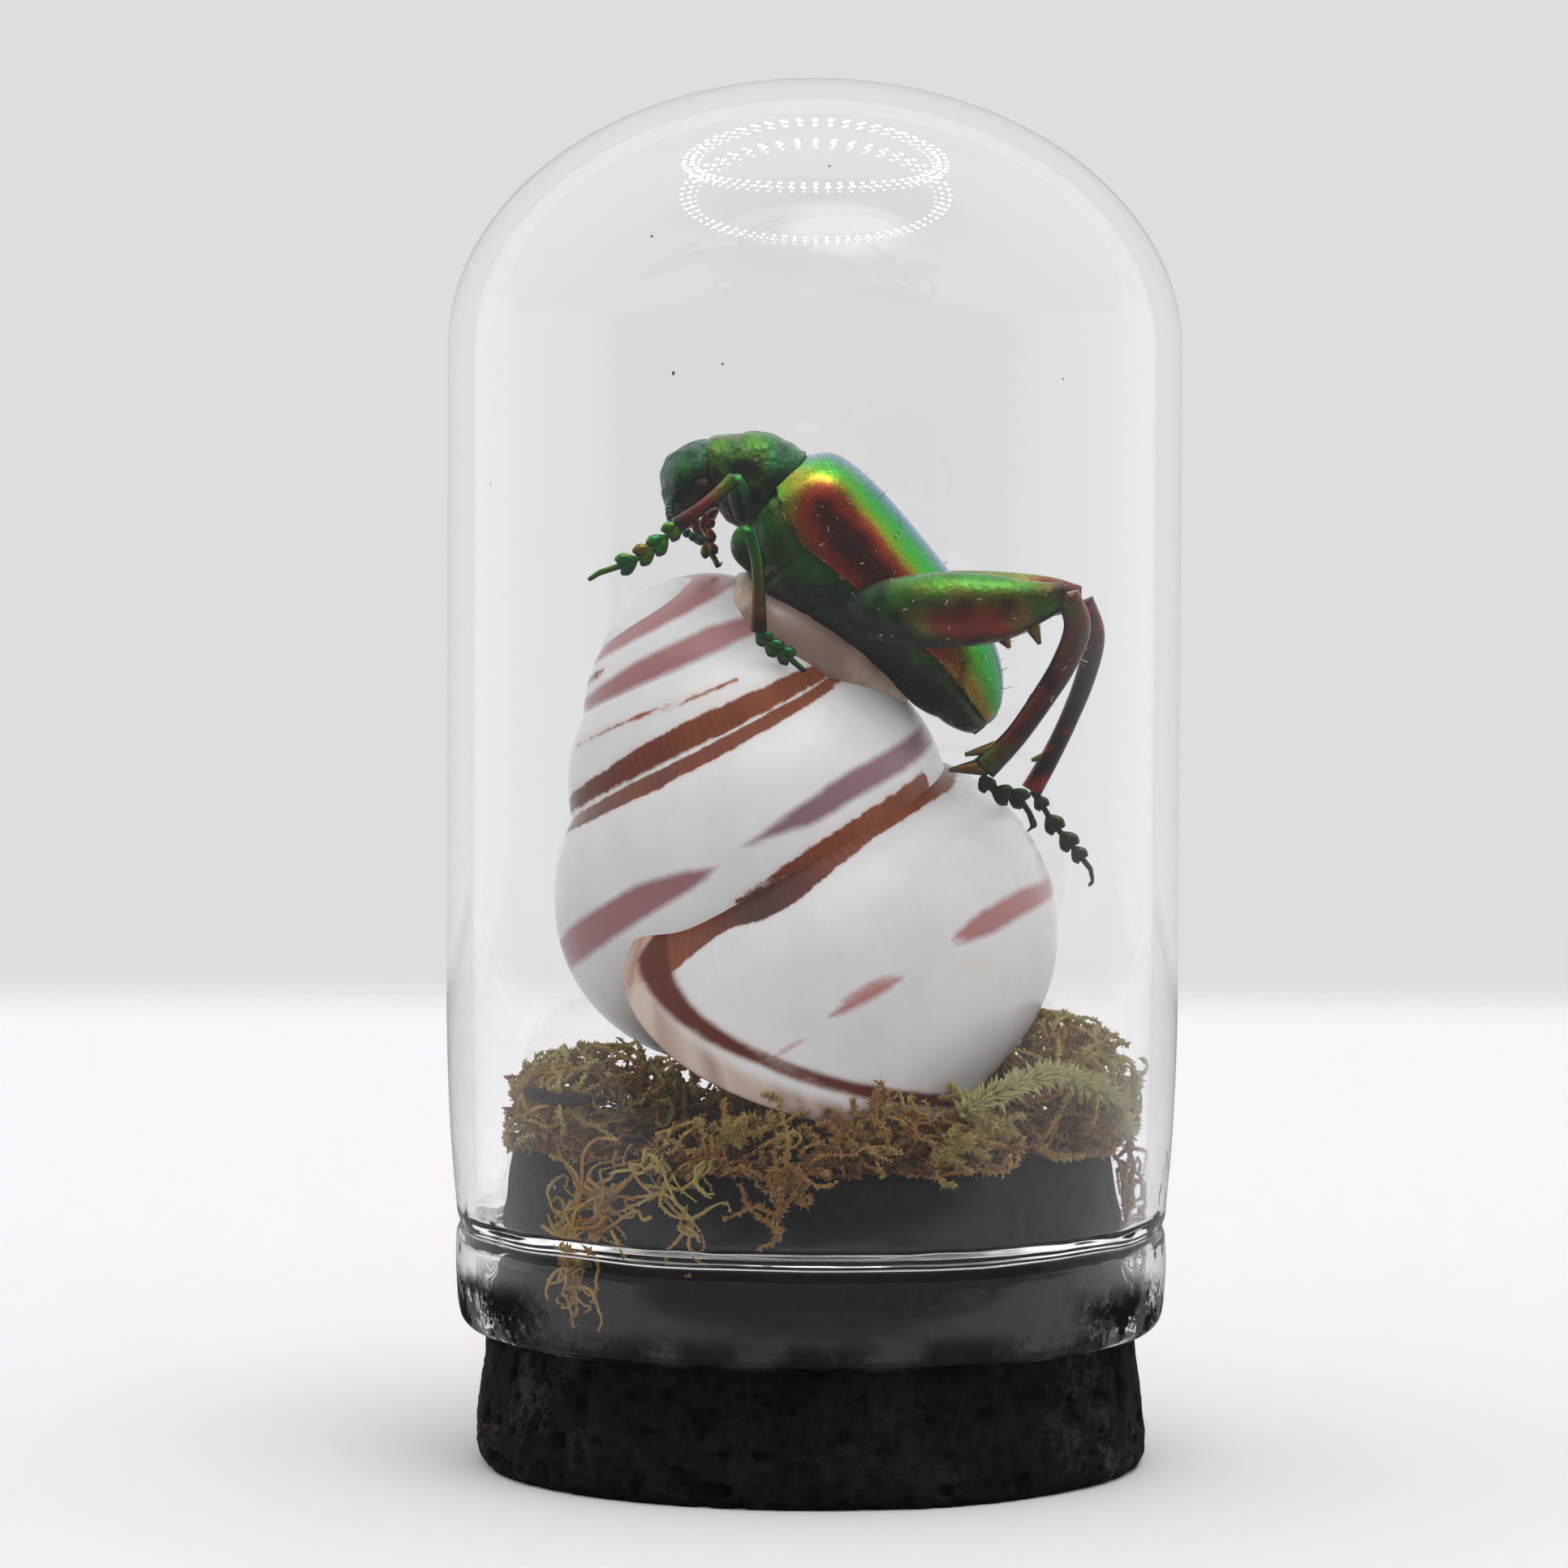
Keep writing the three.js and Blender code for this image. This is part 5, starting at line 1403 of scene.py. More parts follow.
LEGS = (
    Limb("front_left",
         ((-3.6, -2.75, 49.5, 0.5), (-3.9, -3.6, 50.8, 0.6), (-4.1, -4.3, 51.6, 0.4)),
         ((-4.1, -4.3, 51.6, 0.36), (-5.4, -4.8, 50.4, 0.33), (-7.0, -5.2, 49.2, 0.42)),
         ((-7.2, -5.3, 49.0, 0.55), (-7.9, -5.4, 48.3, 0.6), (-8.6, -5.5, 47.8, 0.6),
          (-9.5, -5.6, 47.3, 0.6)),
         (-10.9, -5.6, 46.8), ((-11.35, -5.4, 46.4), (-11.4, -5.8, 46.5)),
         femur_tone=(0.75, 0.6), tibia_tone=(0.5, 0.2, 0.1), tibia_shade=0.5, foot_tone=0.5, foot_shade=0.4),
    Limb("front_right",
         ((-3.6, 2.75, 49.5, 0.5), (-4.0, 3.4, 50.6, 0.6), (-4.4, 3.7, 51.2, 0.4)),
         ((-4.4, 3.7, 51.2, 0.36), (-5.0, 3.4, 50.0, 0.33), (-5.6, 2.8, 49.0, 0.4)),
         ((-5.6, 2.7, 48.9, 0.45), (-5.6, 2.5, 48.2, 0.5), (-5.5, 2.3, 47.5, 0.5)),
         (-5.2, 2.1, 47.0), ((-5.0, 1.9, 46.7), (-4.8, 2.3, 46.8)), foot_tone=0.24, foot_shade=0.5),
    Limb("middle_left",
         ((-2.9, -3.3, 47.0, 0.6), (-3.5, -4.0, 47.9, 0.75), (-3.6, -4.9, 48.6, 0.6),
          (-3.3, -5.3, 49.0, 0.38)),
         ((-3.3, -5.3, 49.0, 0.36), (-2.9, -5.5, 47.0, 0.3), (-2.8, -5.3, 43.8, 0.42)),
         ((-2.6, -5.2, 43.5, 0.5), (-2.1, -5.1, 43.0, 0.55), (-1.5, -5.0, 42.6, 0.55)),
         (-0.9, -5.0, 42.1), ((-0.6, -4.9, 41.7), (-0.5, -5.2, 41.9)),
         femur_tone=(0.6, 0.56, 0.6), tibia_tone=(0.6, 0.4, 0.15), tibia_shade=0.55,
         foot_tone=0.56, foot_shade=0.5),
    Limb("middle_right",
         ((-2.9, 3.3, 47.0, 0.6), (-3.2, 4.6, 47.4, 0.75), (-3.0, 6.0, 47.2, 0.4)),
         ((-3.0, 6.0, 47.2, 0.36), (-2.6, 6.6, 45.2, 0.3), (-2.2, 6.8, 43.2, 0.42)),
         ((-2.1, 6.8, 42.9, 0.5), (-1.5, 6.9, 42.3, 0.55), (-0.9, 7.0, 41.8, 0.55)),
         (-0.3, 7.1, 41.3), ((0.0, 7.0, 40.9), (0.1, 7.3, 41.0))),
    Limb("hind_left",
         ((1.9, -4.95, 44.9, 0.9), (3.6, -5.6, 44.9, 1.6), (6.4, -6.3, 45.0, 1.95), (9.4, -6.6, 45.15, 1.7),
          (11.4, -6.6, 45.5, 1.05), (12.7, -6.5, 45.9, 0.6)),
         ((12.75, -6.5, 45.9, 0.6), (13.25, -6.4, 44.2, 0.66), (12.65, -6.2, 42.3, 0.64),
          (11.55, -6.0, 40.4, 0.6), (10.2, -5.7, 38.4, 0.58), (8.7, -5.4, 36.8, 0.68)),
         ((8.8, -5.2, 36.0, 0.5), (9.6, -5.1, 35.45, 0.6), (10.4, -5.1, 35.3, 0.6)),
         (11.0, -5.1, 34.5), ((10.9, -5.0, 33.5), (11.2, -5.3, 33.7)),
         (((9.3, -5.5, 37.9, 0.35), (7.7, -5.5, 37.5, 0.1)),
          ((8.7, -5.4, 36.9, 0.5), (6.9, -5.4, 36.7, 0.1)),
          ((9.3, -6.6, 44.1, 0.6), (9.9, -6.6, 43.1, 0.1)),
          ((10.8, -6.6, 44.8, 0.6), (11.4, -6.6, 43.3, 0.1))),
         0.72, femur_tone=(0.56, 0.58, 0.56, 0.6, 0.6, 0.5),
         tibia_tone=(0.34, 0.2, 0.13, 0.12, 0.2, 0.45), foot_tone=0.5),
    Limb("hind_right",
         ((1.9, 4.95, 44.7, 0.9), (3.8, 5.6, 44.5, 1.4), (6.6, 6.2, 44.4, 1.7), (9.8, 6.2, 44.5, 1.6),
          (12.4, 6.2, 44.75, 1.1), (14.3, 6.1, 44.7, 0.65)),
         ((14.4, 6.1, 44.6, 0.6), (15.05, 6.0, 42.8, 0.62), (14.6, 6.0, 40.7, 0.58), (13.7, 5.9, 38.5, 0.52),
          (12.7, 5.8, 36.5, 0.52), (11.6, 5.7, 34.6, 0.58)),
         ((12.1, 5.7, 34.0, 0.45), (12.8, 5.7, 32.9, 0.6), (13.6, 5.7, 32.0, 0.6), (14.2, 5.7, 31.3, 0.5)),
         (14.9, 5.7, 30.5), ((14.75, 5.5, 29.6), (14.8, 5.9, 29.7)),
         (((12.7, 5.8, 36.5, 0.35), (11.6, 5.8, 36.2, 0.1)),
          ((10.0, 6.2, 44.0, 0.5), (10.3, 6.2, 43.0, 0.1))),
         0.72, femur_tone=(0.56, 0.56, 0.55, 0.5, 0.45, 0.45),
         tibia_tone=(0.08, 0.02, 0.0, 0.0, 0.02, 0.06), tibia_shade=0.0, foot_tone=0.4),
)


# ------------------------------------------------------------------ glue
@dataclass
class GlueBead:
    """The dried glue that holds the beetle to the shell, a smooth pulled bead."""

    rows: tuple[tuple[float, ...], ...] = ((-4.1, 0.0, 45.5, 0.5), (-3.7, 0.0, 45.3, 1.4),
        (-2.4, 0.0, 43.9, 2.3), (0.0, 0.0, 42.5, 2.4), (2.3, 0.0, 41.3, 2.0), (4.4, 0.0, 40.2, 1.0),
        (4.9, 0.0, 39.9, 0.3))

    def surface(self) -> Surface:
        """Carries a wide oval along the bead and lets it sag in soft lumps."""
        made = limb(list(self.rows), 70, 48, 1.5)
        made.points += 0.12 * lattice_noise(made.points, 1.8, 6)[:, None] * unit(made.points - [0, 0, 42.5])
        return made

    def dress(self) -> bpy.types.Material:
        """Makes the glue: clear adhesive gone cream-coloured and cloudy, with a skin's gloss and a painted
        shadow.
        """
        material, tree = blank_material("yellowed_glue")
        place = add(tree, "TexCoord").outputs["Object"]
        share = add(tree, "Attribute", attribute_name="along").outputs["Fac"]
        cloud = add(tree, "TexNoise", {"Vector": place, "Scale": 1 / (1.5 * MM), "Detail": 3.0})
        mixed = add(tree, "Math", {0: cloud, 1: 0.5, 2: share}, operation="MULTIPLY_ADD")
        # painted shadow: cream at the ends, the bead goes darker mauve-brown along its middle under the
        # beetle
        tone = add(tree, "ValToRGB", {0: mixed}, stops=[(0.3, "#d4bfa6"), (0.52, "#8f766b"),
            (0.85, "#8a7064"), (1.2, "#b89f8a")])
        relief = add(tree, "Bump", {"Height": cloud, "Strength": 0.3, "Distance": 0.15 * MM})
        shader = add(tree, "BsdfPrincipled", {"Base Color": tone, "Roughness": 0.28,
            "Subsurface Weight": 0.3, "Subsurface Scale": 0.8 * MM, "Normal": relief})
        add(tree, "OutputMaterial", {0: shader})
        return material

    def make(self) -> bpy.types.Object:
        """Builds and dresses the bead, and returns it."""
        return self.surface().build("dried_glue_bead", self.dress(), "dried_glue", ("glue_bead",))


# ------------------------------------------------------------------ moss
@dataclass(frozen=True)
class Stems:
    """How the stems of one kind of moss grow, in millimetres and radians."""

    length: tuple[float, float]
    thickness: float
    leaf_length: float
    leaf_width: float
    leaves_per_mm: float
    curl: tuple[float, float] = (1.0, 5.0)
    steps: int = 16


@dataclass
class MossCushion:
    """A tangle of leafy, curling stems that fills flattened balls on top of the cork."""

    name: str
    node: str
    centre: Vec
    radii: Vec
    stems: int
    seed: int
    kind: Stems
    tone: tuple[float, float] = (0.2, 0.7)

    def paths(self, draw: np.random.Generator) -> Array:
        """Grows the stems: each starts in the cushion, leads out and curls up at its tip.

        Args:
            draw: The fixed random source.

        Returns:
            Path points, stems x steps x 3.
        """
        count = self.stems
        toward = unit(draw.normal(size=(count, 3)))
        start = np.array(self.centre) + np.array(self.radii) * toward * draw.uniform(0.35, 0.95, (count, 1))
        start[:, 2] = np.maximum(start[:, 2], CORK_TOP + 0.2)
        first = unit(toward * [1, 1, 0.8] + 0.8 * draw.normal(size=(count, 3)) + [0, 0, 0.2])
        return self.held_in(curling(start, first, self.kind, draw))

    def held_in(self, points: Array) -> Array:
        """Keeps points near the cushion, above the cork and off the glass.

        Args:
            points: Any points.

        Returns:
            The points, pulled back where they leave.
        """
        lumps = 1.03 + 0.1 * lattice_noise(points, 1.6, self.seed)[..., None]
        off = (points - self.centre) / (np.array(self.radii) * lumps)
        far = np.maximum(np.linalg.norm(off, axis=-1, keepdims=True), 1.0)
        points = np.array(self.centre) + (points - self.centre) / far ** 0.8
        points[..., 2] = np.maximum(points[..., 2],
            CORK_TOP + 0.15 + 0.15 * np.abs(np.sin(9 * points[..., 0])))
        return off_the_glass(points)

    def cut_short(self, paths: Array, shell: "SnailShell") -> Array:
        """Ends each stem before it would enter the shell, and drops what is too short.

        Args:
            paths: Path points, stems x steps x 3.
            shell: The snail shell.

        Returns:
            The stems that are left, each with as many points as before.
        """
        steps = paths.shape[1]
        within = shell.holds(paths, 0.12)
        free = np.where(within.any(axis=1), np.argmax(within, axis=1), steps)
        paths, free = paths[free > 5], free[free > 5]
        at = np.linspace(0, 1, steps)[None, :] * (free[:, None] - 1.001)
        low, row = at.astype(int), np.arange(len(paths))[:, None]
        return paths[row, low] + (paths[row, low + 1] - paths[row, low]) * (at - low)[..., None]

    def surface(self, shell: "SnailShell") -> Surface:
        """Grows stems and leaves, cut short where they would be inside the shell.

        Args:
            shell: The snail shell.

        Returns:
            The cushion as one surface, paler outside and on top than inside, as painted light and shade.
        """
        draw = np.random.default_rng(self.seed)
        paths = self.cut_short(self.paths(draw), shell)
        made = leafy(paths, self.kind, draw, self.tone)
        # painted shade deep in the cushion and painted light towards its outside and top
        off = (made.points - self.centre) / self.radii
        away = np.linalg.norm(off, axis=1) - 0.9
        made.values["tone"] = made.values["tone"] + 0.3 * away + 0.12 * off[:, 2]
        return made

    def make(self, shell: "SnailShell", material: bpy.types.Material) -> bpy.types.Object:
        """Builds the cushion.

        Args:
            shell: The snail shell that it lies round.
            material: The moss material.

        Returns:
            The piece.
        """
        return self.surface(shell).build(self.name, material, "dry_moss", (self.node,))


CORK_TOP = 16.8


def off_the_glass(points: Array) -> Array:
    """Pulls points in so that they stay 0.1 mm off the dome's inner wall and ring.

    Args:
        points: Any points.

    Returns:
        The points, moved towards the axis where they are too far out.
    """
    points = points.copy()
    room = 17.5 - 0.7 * np.exp(-(((points[..., 2] - 12.5) / 1.0) ** 2)) - 0.25 * (points[..., 2] < 12)
    radius = np.hypot(points[..., 0], points[..., 1])
    points[..., :2] *= np.minimum(1, room / np.maximum(radius, 1e-6))[..., None]
    return points


def curling(start: Array, first: Array, kind: Stems, draw: np.random.Generator) -> Array:
    """Grows curling stems.

    A stem bends in a plane of its own. Its heading turns by the curl times the 1.7th power
    of the share of its length, and it drifts a little out of the plane.

    Args:
        start: Where each stem begins, stems x 3.
        first: The way that each sets out.
        kind: How the stems grow.
        draw: The fixed random source.

    Returns:
        Path points, stems x steps x 3.
    """
    count = len(start)
    second = unit(np.cross(first, draw.normal(size=(count, 3))))
    share = np.linspace(0, 1, kind.steps)[None, :]
    bend = draw.uniform(*kind.curl, (count, 1)) * share**1.7
    turn = bend + 0.35 * np.sin(9 * share + draw.uniform(0, 6, (count, 1)))
    drift = 0.35 * draw.normal(size=(count, 1, 3))
    ways = unit(np.cos(turn)[..., None] * first[:, None] + np.sin(turn)[..., None] * second[:, None]
        + drift)
    length = draw.uniform(*kind.length, count)
    return start[:, None] + np.cumsum(ways, axis=1) * (length / kind.steps)[:, None, None]


def leafy(paths: Array, kind: Stems, draw: np.random.Generator, tone: tuple[float, float],
    side: Array | None = None) -> Surface:
    """Puts thin stems along paths and leaves round them.

    A leaf is a closed, folded blade of four points: its root, two edges and its hooked tip.
    It leans forward from the stem at 18 to 52 degrees.

    Args:
        paths: Path points, stems x steps x 3.
        kind: How the stems grow.
        draw: The fixed random source.
        tone: The range of colour tones.
        side: One direction that all leaves lie beside, or none for leaves all round.

    Returns:
        Stems and leaves, with the value "tone".
    """
    count, steps = paths.shape[:2]
    taper = np.linspace(1, 0.35, steps)[None, :] * np.ones((count, 1)) * kind.thickness
    stems = tubes(paths, taper, 4, 1.0, (0.48, 0.6, 0.64))
    own = draw.uniform(*tone, count)
    stems.values["tone"] = np.repeat(own, steps * 4) - 0.12
    span = np.linalg.norm(np.diff(paths, axis=1), axis=-1).sum(axis=1)
    number = np.maximum((span * kind.leaves_per_mm).astype(int), 0)
    stem = np.repeat(np.arange(count), number)
    at = draw.uniform(0, steps - 1.001, len(stem))
    low = at.astype(int)
    root = paths[stem, low] + (paths[stem, low + 1] - paths[stem, low]) * (at - low)[:, None]
    ahead = unit(paths[stem, low + 1] - paths[stem, low])
    if side is None:
        out = draw.normal(size=(len(stem), 3))
    else:
        out = np.cross(ahead, side) * draw.choice([-1, 1], (len(stem), 1))
        out = out + 0.35 * draw.normal(size=(len(stem), 3))
    out = unit(out - (out * ahead).sum(-1, keepdims=True) * ahead)
    lean = np.radians(draw.uniform(18, 52, (len(stem), 1)))
    way = np.cos(lean) * ahead + np.sin(lean) * out
    edge = unit(np.cross(ahead, out))
    hook = unit(np.cross(edge, way))
    size = kind.leaf_length * draw.uniform(0.6, 1.25, (len(stem), 1)) * (1 - 0.35 * (at / steps)[:, None])
    width = kind.leaf_width * draw.uniform(0.7, 1.2, (len(stem), 1))
    middle = root + 0.42 * size * way
    tip = root + 0.85 * size * way + 0.45 * size * hook * draw.uniform(-0.3, 1, (len(stem), 1))
    points = np.stack([root, middle - width * edge - 0.5 * width * hook,
        middle + width * edge - 0.5 * width * hook, tip], axis=1)
    fan = np.array([[0, 2, 1], [0, 1, 3], [0, 3, 2], [1, 2, 3]])
    faces = (4 * np.arange(len(stem)))[:, None, None] + fan
    shades = np.repeat(own[stem] + draw.normal(0, 0.07, len(stem)), 4)
    shades[3::4] += 0.12
    leaves = Surface(off_the_glass(points).reshape(-1, 3), triangles=faces.reshape(-1, 3),
        values={"tone": shades})
    return Surface.joined([stems, leaves.facing_out()])


@dataclass
class MossStrands:
    """Moss that follows a line: an arching frond, or a tuft that hangs by the glass.

    The line's stations are x, y, z and the spread of the strands round it. Strands stray
    from their places by frizz times the spread. Branches are short and curl out of them.
    """

    name: str
    node: str
    line: tuple[tuple[float, ...], ...]
    strands: int
    seed: int
    kind: Stems
    tone: tuple[float, float]
    frizz: float = 0.4
    branches: int = 0

    def surface(self) -> Surface:
        """Bundles strands: each follows the line at its own offset and ends where it likes."""
        draw = np.random.default_rng(self.seed)
        steps = self.kind.steps
        line = smooth_rows(np.array(self.line), 60)
        first = draw.uniform(0, 0.45, self.strands) * (self.strands > 1)
        last = np.ones(1)
        if self.strands > 1:
            last = np.clip(first + draw.uniform(0.35, 0.8, self.strands), 0, 1)
        at = (first[:, None] + (last - first)[:, None] * np.linspace(0, 1, steps)) * 59
        low = np.minimum(at.astype(int), 58)
        base = line[low] + (line[low + 1] - line[low]) * (at - low)[..., None]
        offset = unit(draw.normal(size=(self.strands, 1, 3)))
        offset = offset * draw.uniform(0, 1, (self.strands, 1, 1)) ** 0.6
        own = base[..., :3] + 7 * draw.normal(size=(self.strands, 1, 3))
        wander = np.stack([lattice_noise(own, 1.8, k) for k in range(3)], -1)
        kink = np.stack([lattice_noise(own, 0.55, k + 5) for k in range(3)], -1)
        paths = base[..., :3] + base[..., 3:] * (offset + self.frizz * wander) + 0.4 * self.frizz * kink
        if self.branches:
            strand = draw.integers(0, self.strands, self.branches)
            knot = draw.integers(4, steps - 4, self.branches)
            twigs = curling(paths[strand, knot], unit(draw.normal(size=(self.branches, 3))), self.kind,
                draw)
            paths = np.concatenate([paths, twigs])
        return leafy(off_the_glass(off_the_cork(paths)), self.kind, draw, self.tone)

    def make(self, material: bpy.types.Material) -> bpy.types.Object:
        """Builds the strands.

        Args:
            material: The moss material.

        Returns:
            The piece.
        """
        return self.surface().build(self.name, material, "dry_moss", (self.node,))


def off_the_cork(points: Array) -> Array:
    """Pushes points that are lower than the cork's top out past its side.

    Args:
        points: Any points.

    Returns:
        The points, moved out where they were in the cork.
    """
    points = points.copy()
    side = 17.6 - 2.1 * (points[..., 2] - 2) / 14.8 + 0.12
    radius = np.hypot(points[..., 0], points[..., 1])
    push = np.where(points[..., 2] < CORK_TOP, np.maximum(side / np.maximum(radius, 1e-6), 1), 1)
    points[..., :2] *= push[..., None]
    return points


def round_cork(stations: tuple[tuple[float, float, float, float], ...]) -> tuple[tuple[float, ...], ...]:
    """Turns stations of angle, radius, height and spread into x, y, z and spread."""
    return tuple((r * math.cos(math.radians(a)), r * math.sin(math.radians(a)), z, w)
        for a, r, z, w in stations)


@dataclass
class MossBed:
    """All the moss and the twig in it."""

    feathery: Stems = Stems((3.5, 7.5), 0.15, 0.45, 0.1, 17, (1.5, 7.5), 24)
    mat: Stems = Stems((2.5, 6.0), 0.14, 0.45, 0.1, 18, (1.0, 7.0), 20)
    thread: Stems = Stems((2.0, 4.5), 0.12, 0.3, 0.07, 16, (1.0, 6.0), 44)
    sprig: Stems = Stems((2.0, 4.0), 0.14, 0.5, 0.11, 26, (1.0, 5.0), 26)
    plume: Stems = Stems((1.0, 2.0), 0.13, 0.6, 0.1, 50, (0.5, 3.0), 30)
    frond: Stems = Stems((3.0, 6.0), 0.2, 1.3, 0.13, 130, (0.0, 1.0), 30)

    def dress(self) -> bpy.types.Material:
        """Makes dried feather moss: paper-thin leaves gone from green to ochre and brown."""
        material, tree = blank_material("dried_feather_moss")
        place = add(tree, "TexCoord").outputs["Object"]
        tone = add(tree, "Attribute", attribute_name="tone").outputs["Fac"]
        patch = add(tree, "TexNoise", {"Vector": place, "Scale": 1 / (2.2 * MM), "Detail": 3.0})
        drift = add(tree, "Math", {0: patch, 1: 0.5, 2: -0.25}, operation="MULTIPLY_ADD")
        moved = add(tree, "Math", {0: tone, 1: drift}, operation="ADD")
        colour = add(tree, "ValToRGB", {0: moved},
            stops=[(0.0, "#7a4624"), (0.2, "#c48648"), (0.4, "#e2b068"), (0.58, "#e8c878"),
            (0.78, "#ecde86"), (1.0, "#f4f0b0")])
        shader = add(tree, "BsdfPrincipled", {"Base Color": colour, "Roughness": 0.75,
            "Specular IOR Level": 0.25, "Sheen Weight": 0.2})
        glow = add(tree, "BsdfTranslucent", {"Color": colour})
        mixed = add(tree, "MixShader", {0: 0.45, 1: shader, 2: glow})
        add(tree, "OutputMaterial", {0: mixed})
        return material

    def twig(self) -> bpy.types.Object:
        """Makes the dark broken twig on the left clump, and returns it."""
        rows = [(-14.3, -7.8, 20.3, 0.08), (-14.1, -8.0, 20.28, 0.3), (-12.8, -9.3, 20.1, 0.36),
            (-11.3, -10.2, 20.18, 0.28), (-11.0, -10.35, 20.2, 0.08)]
        made = limb(rows, 60, 20)
        made.points += 0.06 * lattice_noise(made.points, 0.4, 2)[:, None] * np.array([0.2, 0.6, 1.0])
        material, tree = blank_material("dead_bark")
        place = add(tree, "TexCoord").outputs["Object"]
        grain = add(tree, "TexNoise", {"Vector": place, "Scale": 1 / (0.3 * MM), "Detail": 4.0})
        colour = add(tree, "ValToRGB", {0: grain}, stops=[(0.35, "#1c1418"), (0.7, "#43322c")])
        relief = add(tree, "Bump", {"Height": grain, "Strength": 0.8, "Distance": 0.08 * MM})
        shader = add(tree, "BsdfPrincipled", {"Base Color": colour, "Roughness": 0.85, "Normal": relief})
        add(tree, "OutputMaterial", {0: shader})
        return made.build("dark_broken_twig", material, "dark_twig", ("dark_twig",))

    def make(self, shell: SnailShell) -> list[bpy.types.Object]:
        """Builds every cushion, frond and tuft.

        Args:
            shell: The snail shell that the moss lies round.

        Returns:
            The pieces.
        """
        moss = self.dress()
        cushions = (
            MossCushion("left_cushion", "moss_left_clump",
                (-11.0, -3.6, 18.6), (4.4, 6.5, 3.2), 230, 21, self.feathery, (0.15, 0.8)),
            MossCushion("right_cushion", "moss_right_clump",
                (12.3, -2.2, 19.4), (4.2, 6.7, 4.2), 240, 22, self.feathery, (0.3, 0.8)),
            MossCushion("front_mat", "moss_front_mat",
                (0.3, -12.2, 17.6), (10.5, 3.9, 2.3), 260, 23, self.mat, (0.0, 0.5)),
            MossCushion("knob_by_the_shell", "moss_front_mat",
                (5.9, -11.3, 19.6), (2.1, 2.0, 2.1), 40, 25, self.mat, (0.35, 0.7)),
            MossCushion("bed_under_the_shell", "moss_front_mat",
                (0.0, -3.5, 17.6), (13.5, 10.0, 1.7), 330, 26, self.mat, (0.1, 0.5)),
            MossCushion("tuck_by_the_lip", "moss_front_mat",
                (-6.6, -6.4, 18.3), (2.8, 3.4, 1.9), 80, 40, self.mat, (0.2, 0.6)),
            MossCushion("back_mat", "moss_back_mat",
                (0.4, 10.2, 18.2), (9.6, 4.8, 3.0), 280, 24, self.mat, (0.15, 0.65)),
        )
        pieces = [cushion.make(shell, moss) for cushion in cushions]
        arch = ((7.4, -13.0, 19.9, 0.1), (9.2, -12.4, 21.0, 0.15), (11.4, -10.9, 21.6, 0.15),
            (13.4, -9.2, 21.2, 0.15), (15.0, -7.6, 19.9, 0.1), (15.6, -6.6, 18.4, 0.05))
        left = round_cork(((236, 15.4, 19.0, 1.3), (234, 16.2, 17.4, 2.0), (230, 16.5, 15.4, 2.0),
            (226, 16.6, 13.8, 1.3), (224, 16.7, 12.4, 0.7), (225, 16.9, 10.4, 0.5), (225, 17.0, 9.2, 0.3)))
        curls = round_cork(((240, 15.4, 19.0, 1.0), (243, 16.3, 17.2, 1.3), (247, 16.5, 15.8, 1.3),
            (250, 16.6, 14.4, 0.8)))
        front = round_cork(((266, 15.8, 18.0, 0.8), (265, 16.5, 16.8, 1.0), (265, 16.6, 15.2, 0.8),
            (265, 16.6, 14.1, 0.4)))
        right = round_cork(((350, 16.3, 19.2, 0.9), (350, 16.6, 16.8, 0.9), (350, 16.7, 14.6, 0.7),
            (350, 16.6, 12.4, 0.4), (350, 16.85, 10.6, 0.3)))
        rusty = ((-1.8, -15.9, 15.9, 0.1), (0.2, -15.4, 17.8, 0.1), (2.2, -14.2, 19.4, 0.1),
            (4.2, -12.6, 20.3, 0.1))
        ochre = ((-6.4, -14.4, 17.0, 0.1), (-4.4, -14.6, 18.6, 0.1), (-2.2, -14.0, 19.7, 0.1),
            (-0.4, -12.8, 20.2, 0.1))
        olive = ((5.4, -14.9, 17.1, 0.1), (7.4, -14.2, 18.5, 0.1), (9.2, -12.9, 19.4, 0.1),
            (10.4, -11.6, 19.6, 0.1))
        pale = ((-4.6, -14.6, 18.0, 0.4), (-5.4, -15.3, 17.8, 0.4), (-5.9, -15.8, 16.9, 0.4),
            (-5.3, -16.0, 16.3, 0.4), (-4.7, -16.1, 15.9, 0.4))
        strands = (
            ("arching_frond", "moss_arch", arch, 1, 31, self.frond, (0.95, 1.0)),
            ("left_hanging_tuft", "moss_left_tuft", left, 14, 32, self.thread, (0.4, 0.75), 1.0, 44),
            ("left_hanging_curls", "moss_left_tuft", curls, 5, 39, self.thread, (0.55, 0.8), 0.8, 14),
            ("front_hanging_tuft", "moss_front_tuft", front, 5, 33, self.sprig, (0.3, 0.6), 0.5, 8),
            ("right_hanging_tuft", "moss_right_tuft", right, 12, 34, self.thread, (0.3, 0.6), 0.6, 16),
            ("rusty_plume", "moss_front_mat", rusty, 1, 35, self.plume, (0.35, 0.4), 0.4, 26),
            ("ochre_plume", "moss_front_mat", ochre, 1, 36, self.plume, (0.5, 0.55), 0.4, 24),
            ("olive_plume", "moss_front_mat", olive, 1, 37, self.plume, (0.6, 0.65), 0.4, 24),
            ("pale_curl", "moss_front_mat", pale, 3, 38, self.thread, (0.85, 0.95), 0.4),
        )
        pieces += [MossStrands(*strand).make(moss) for strand in strands]
        pieces.append(self.twig())
        return pieces


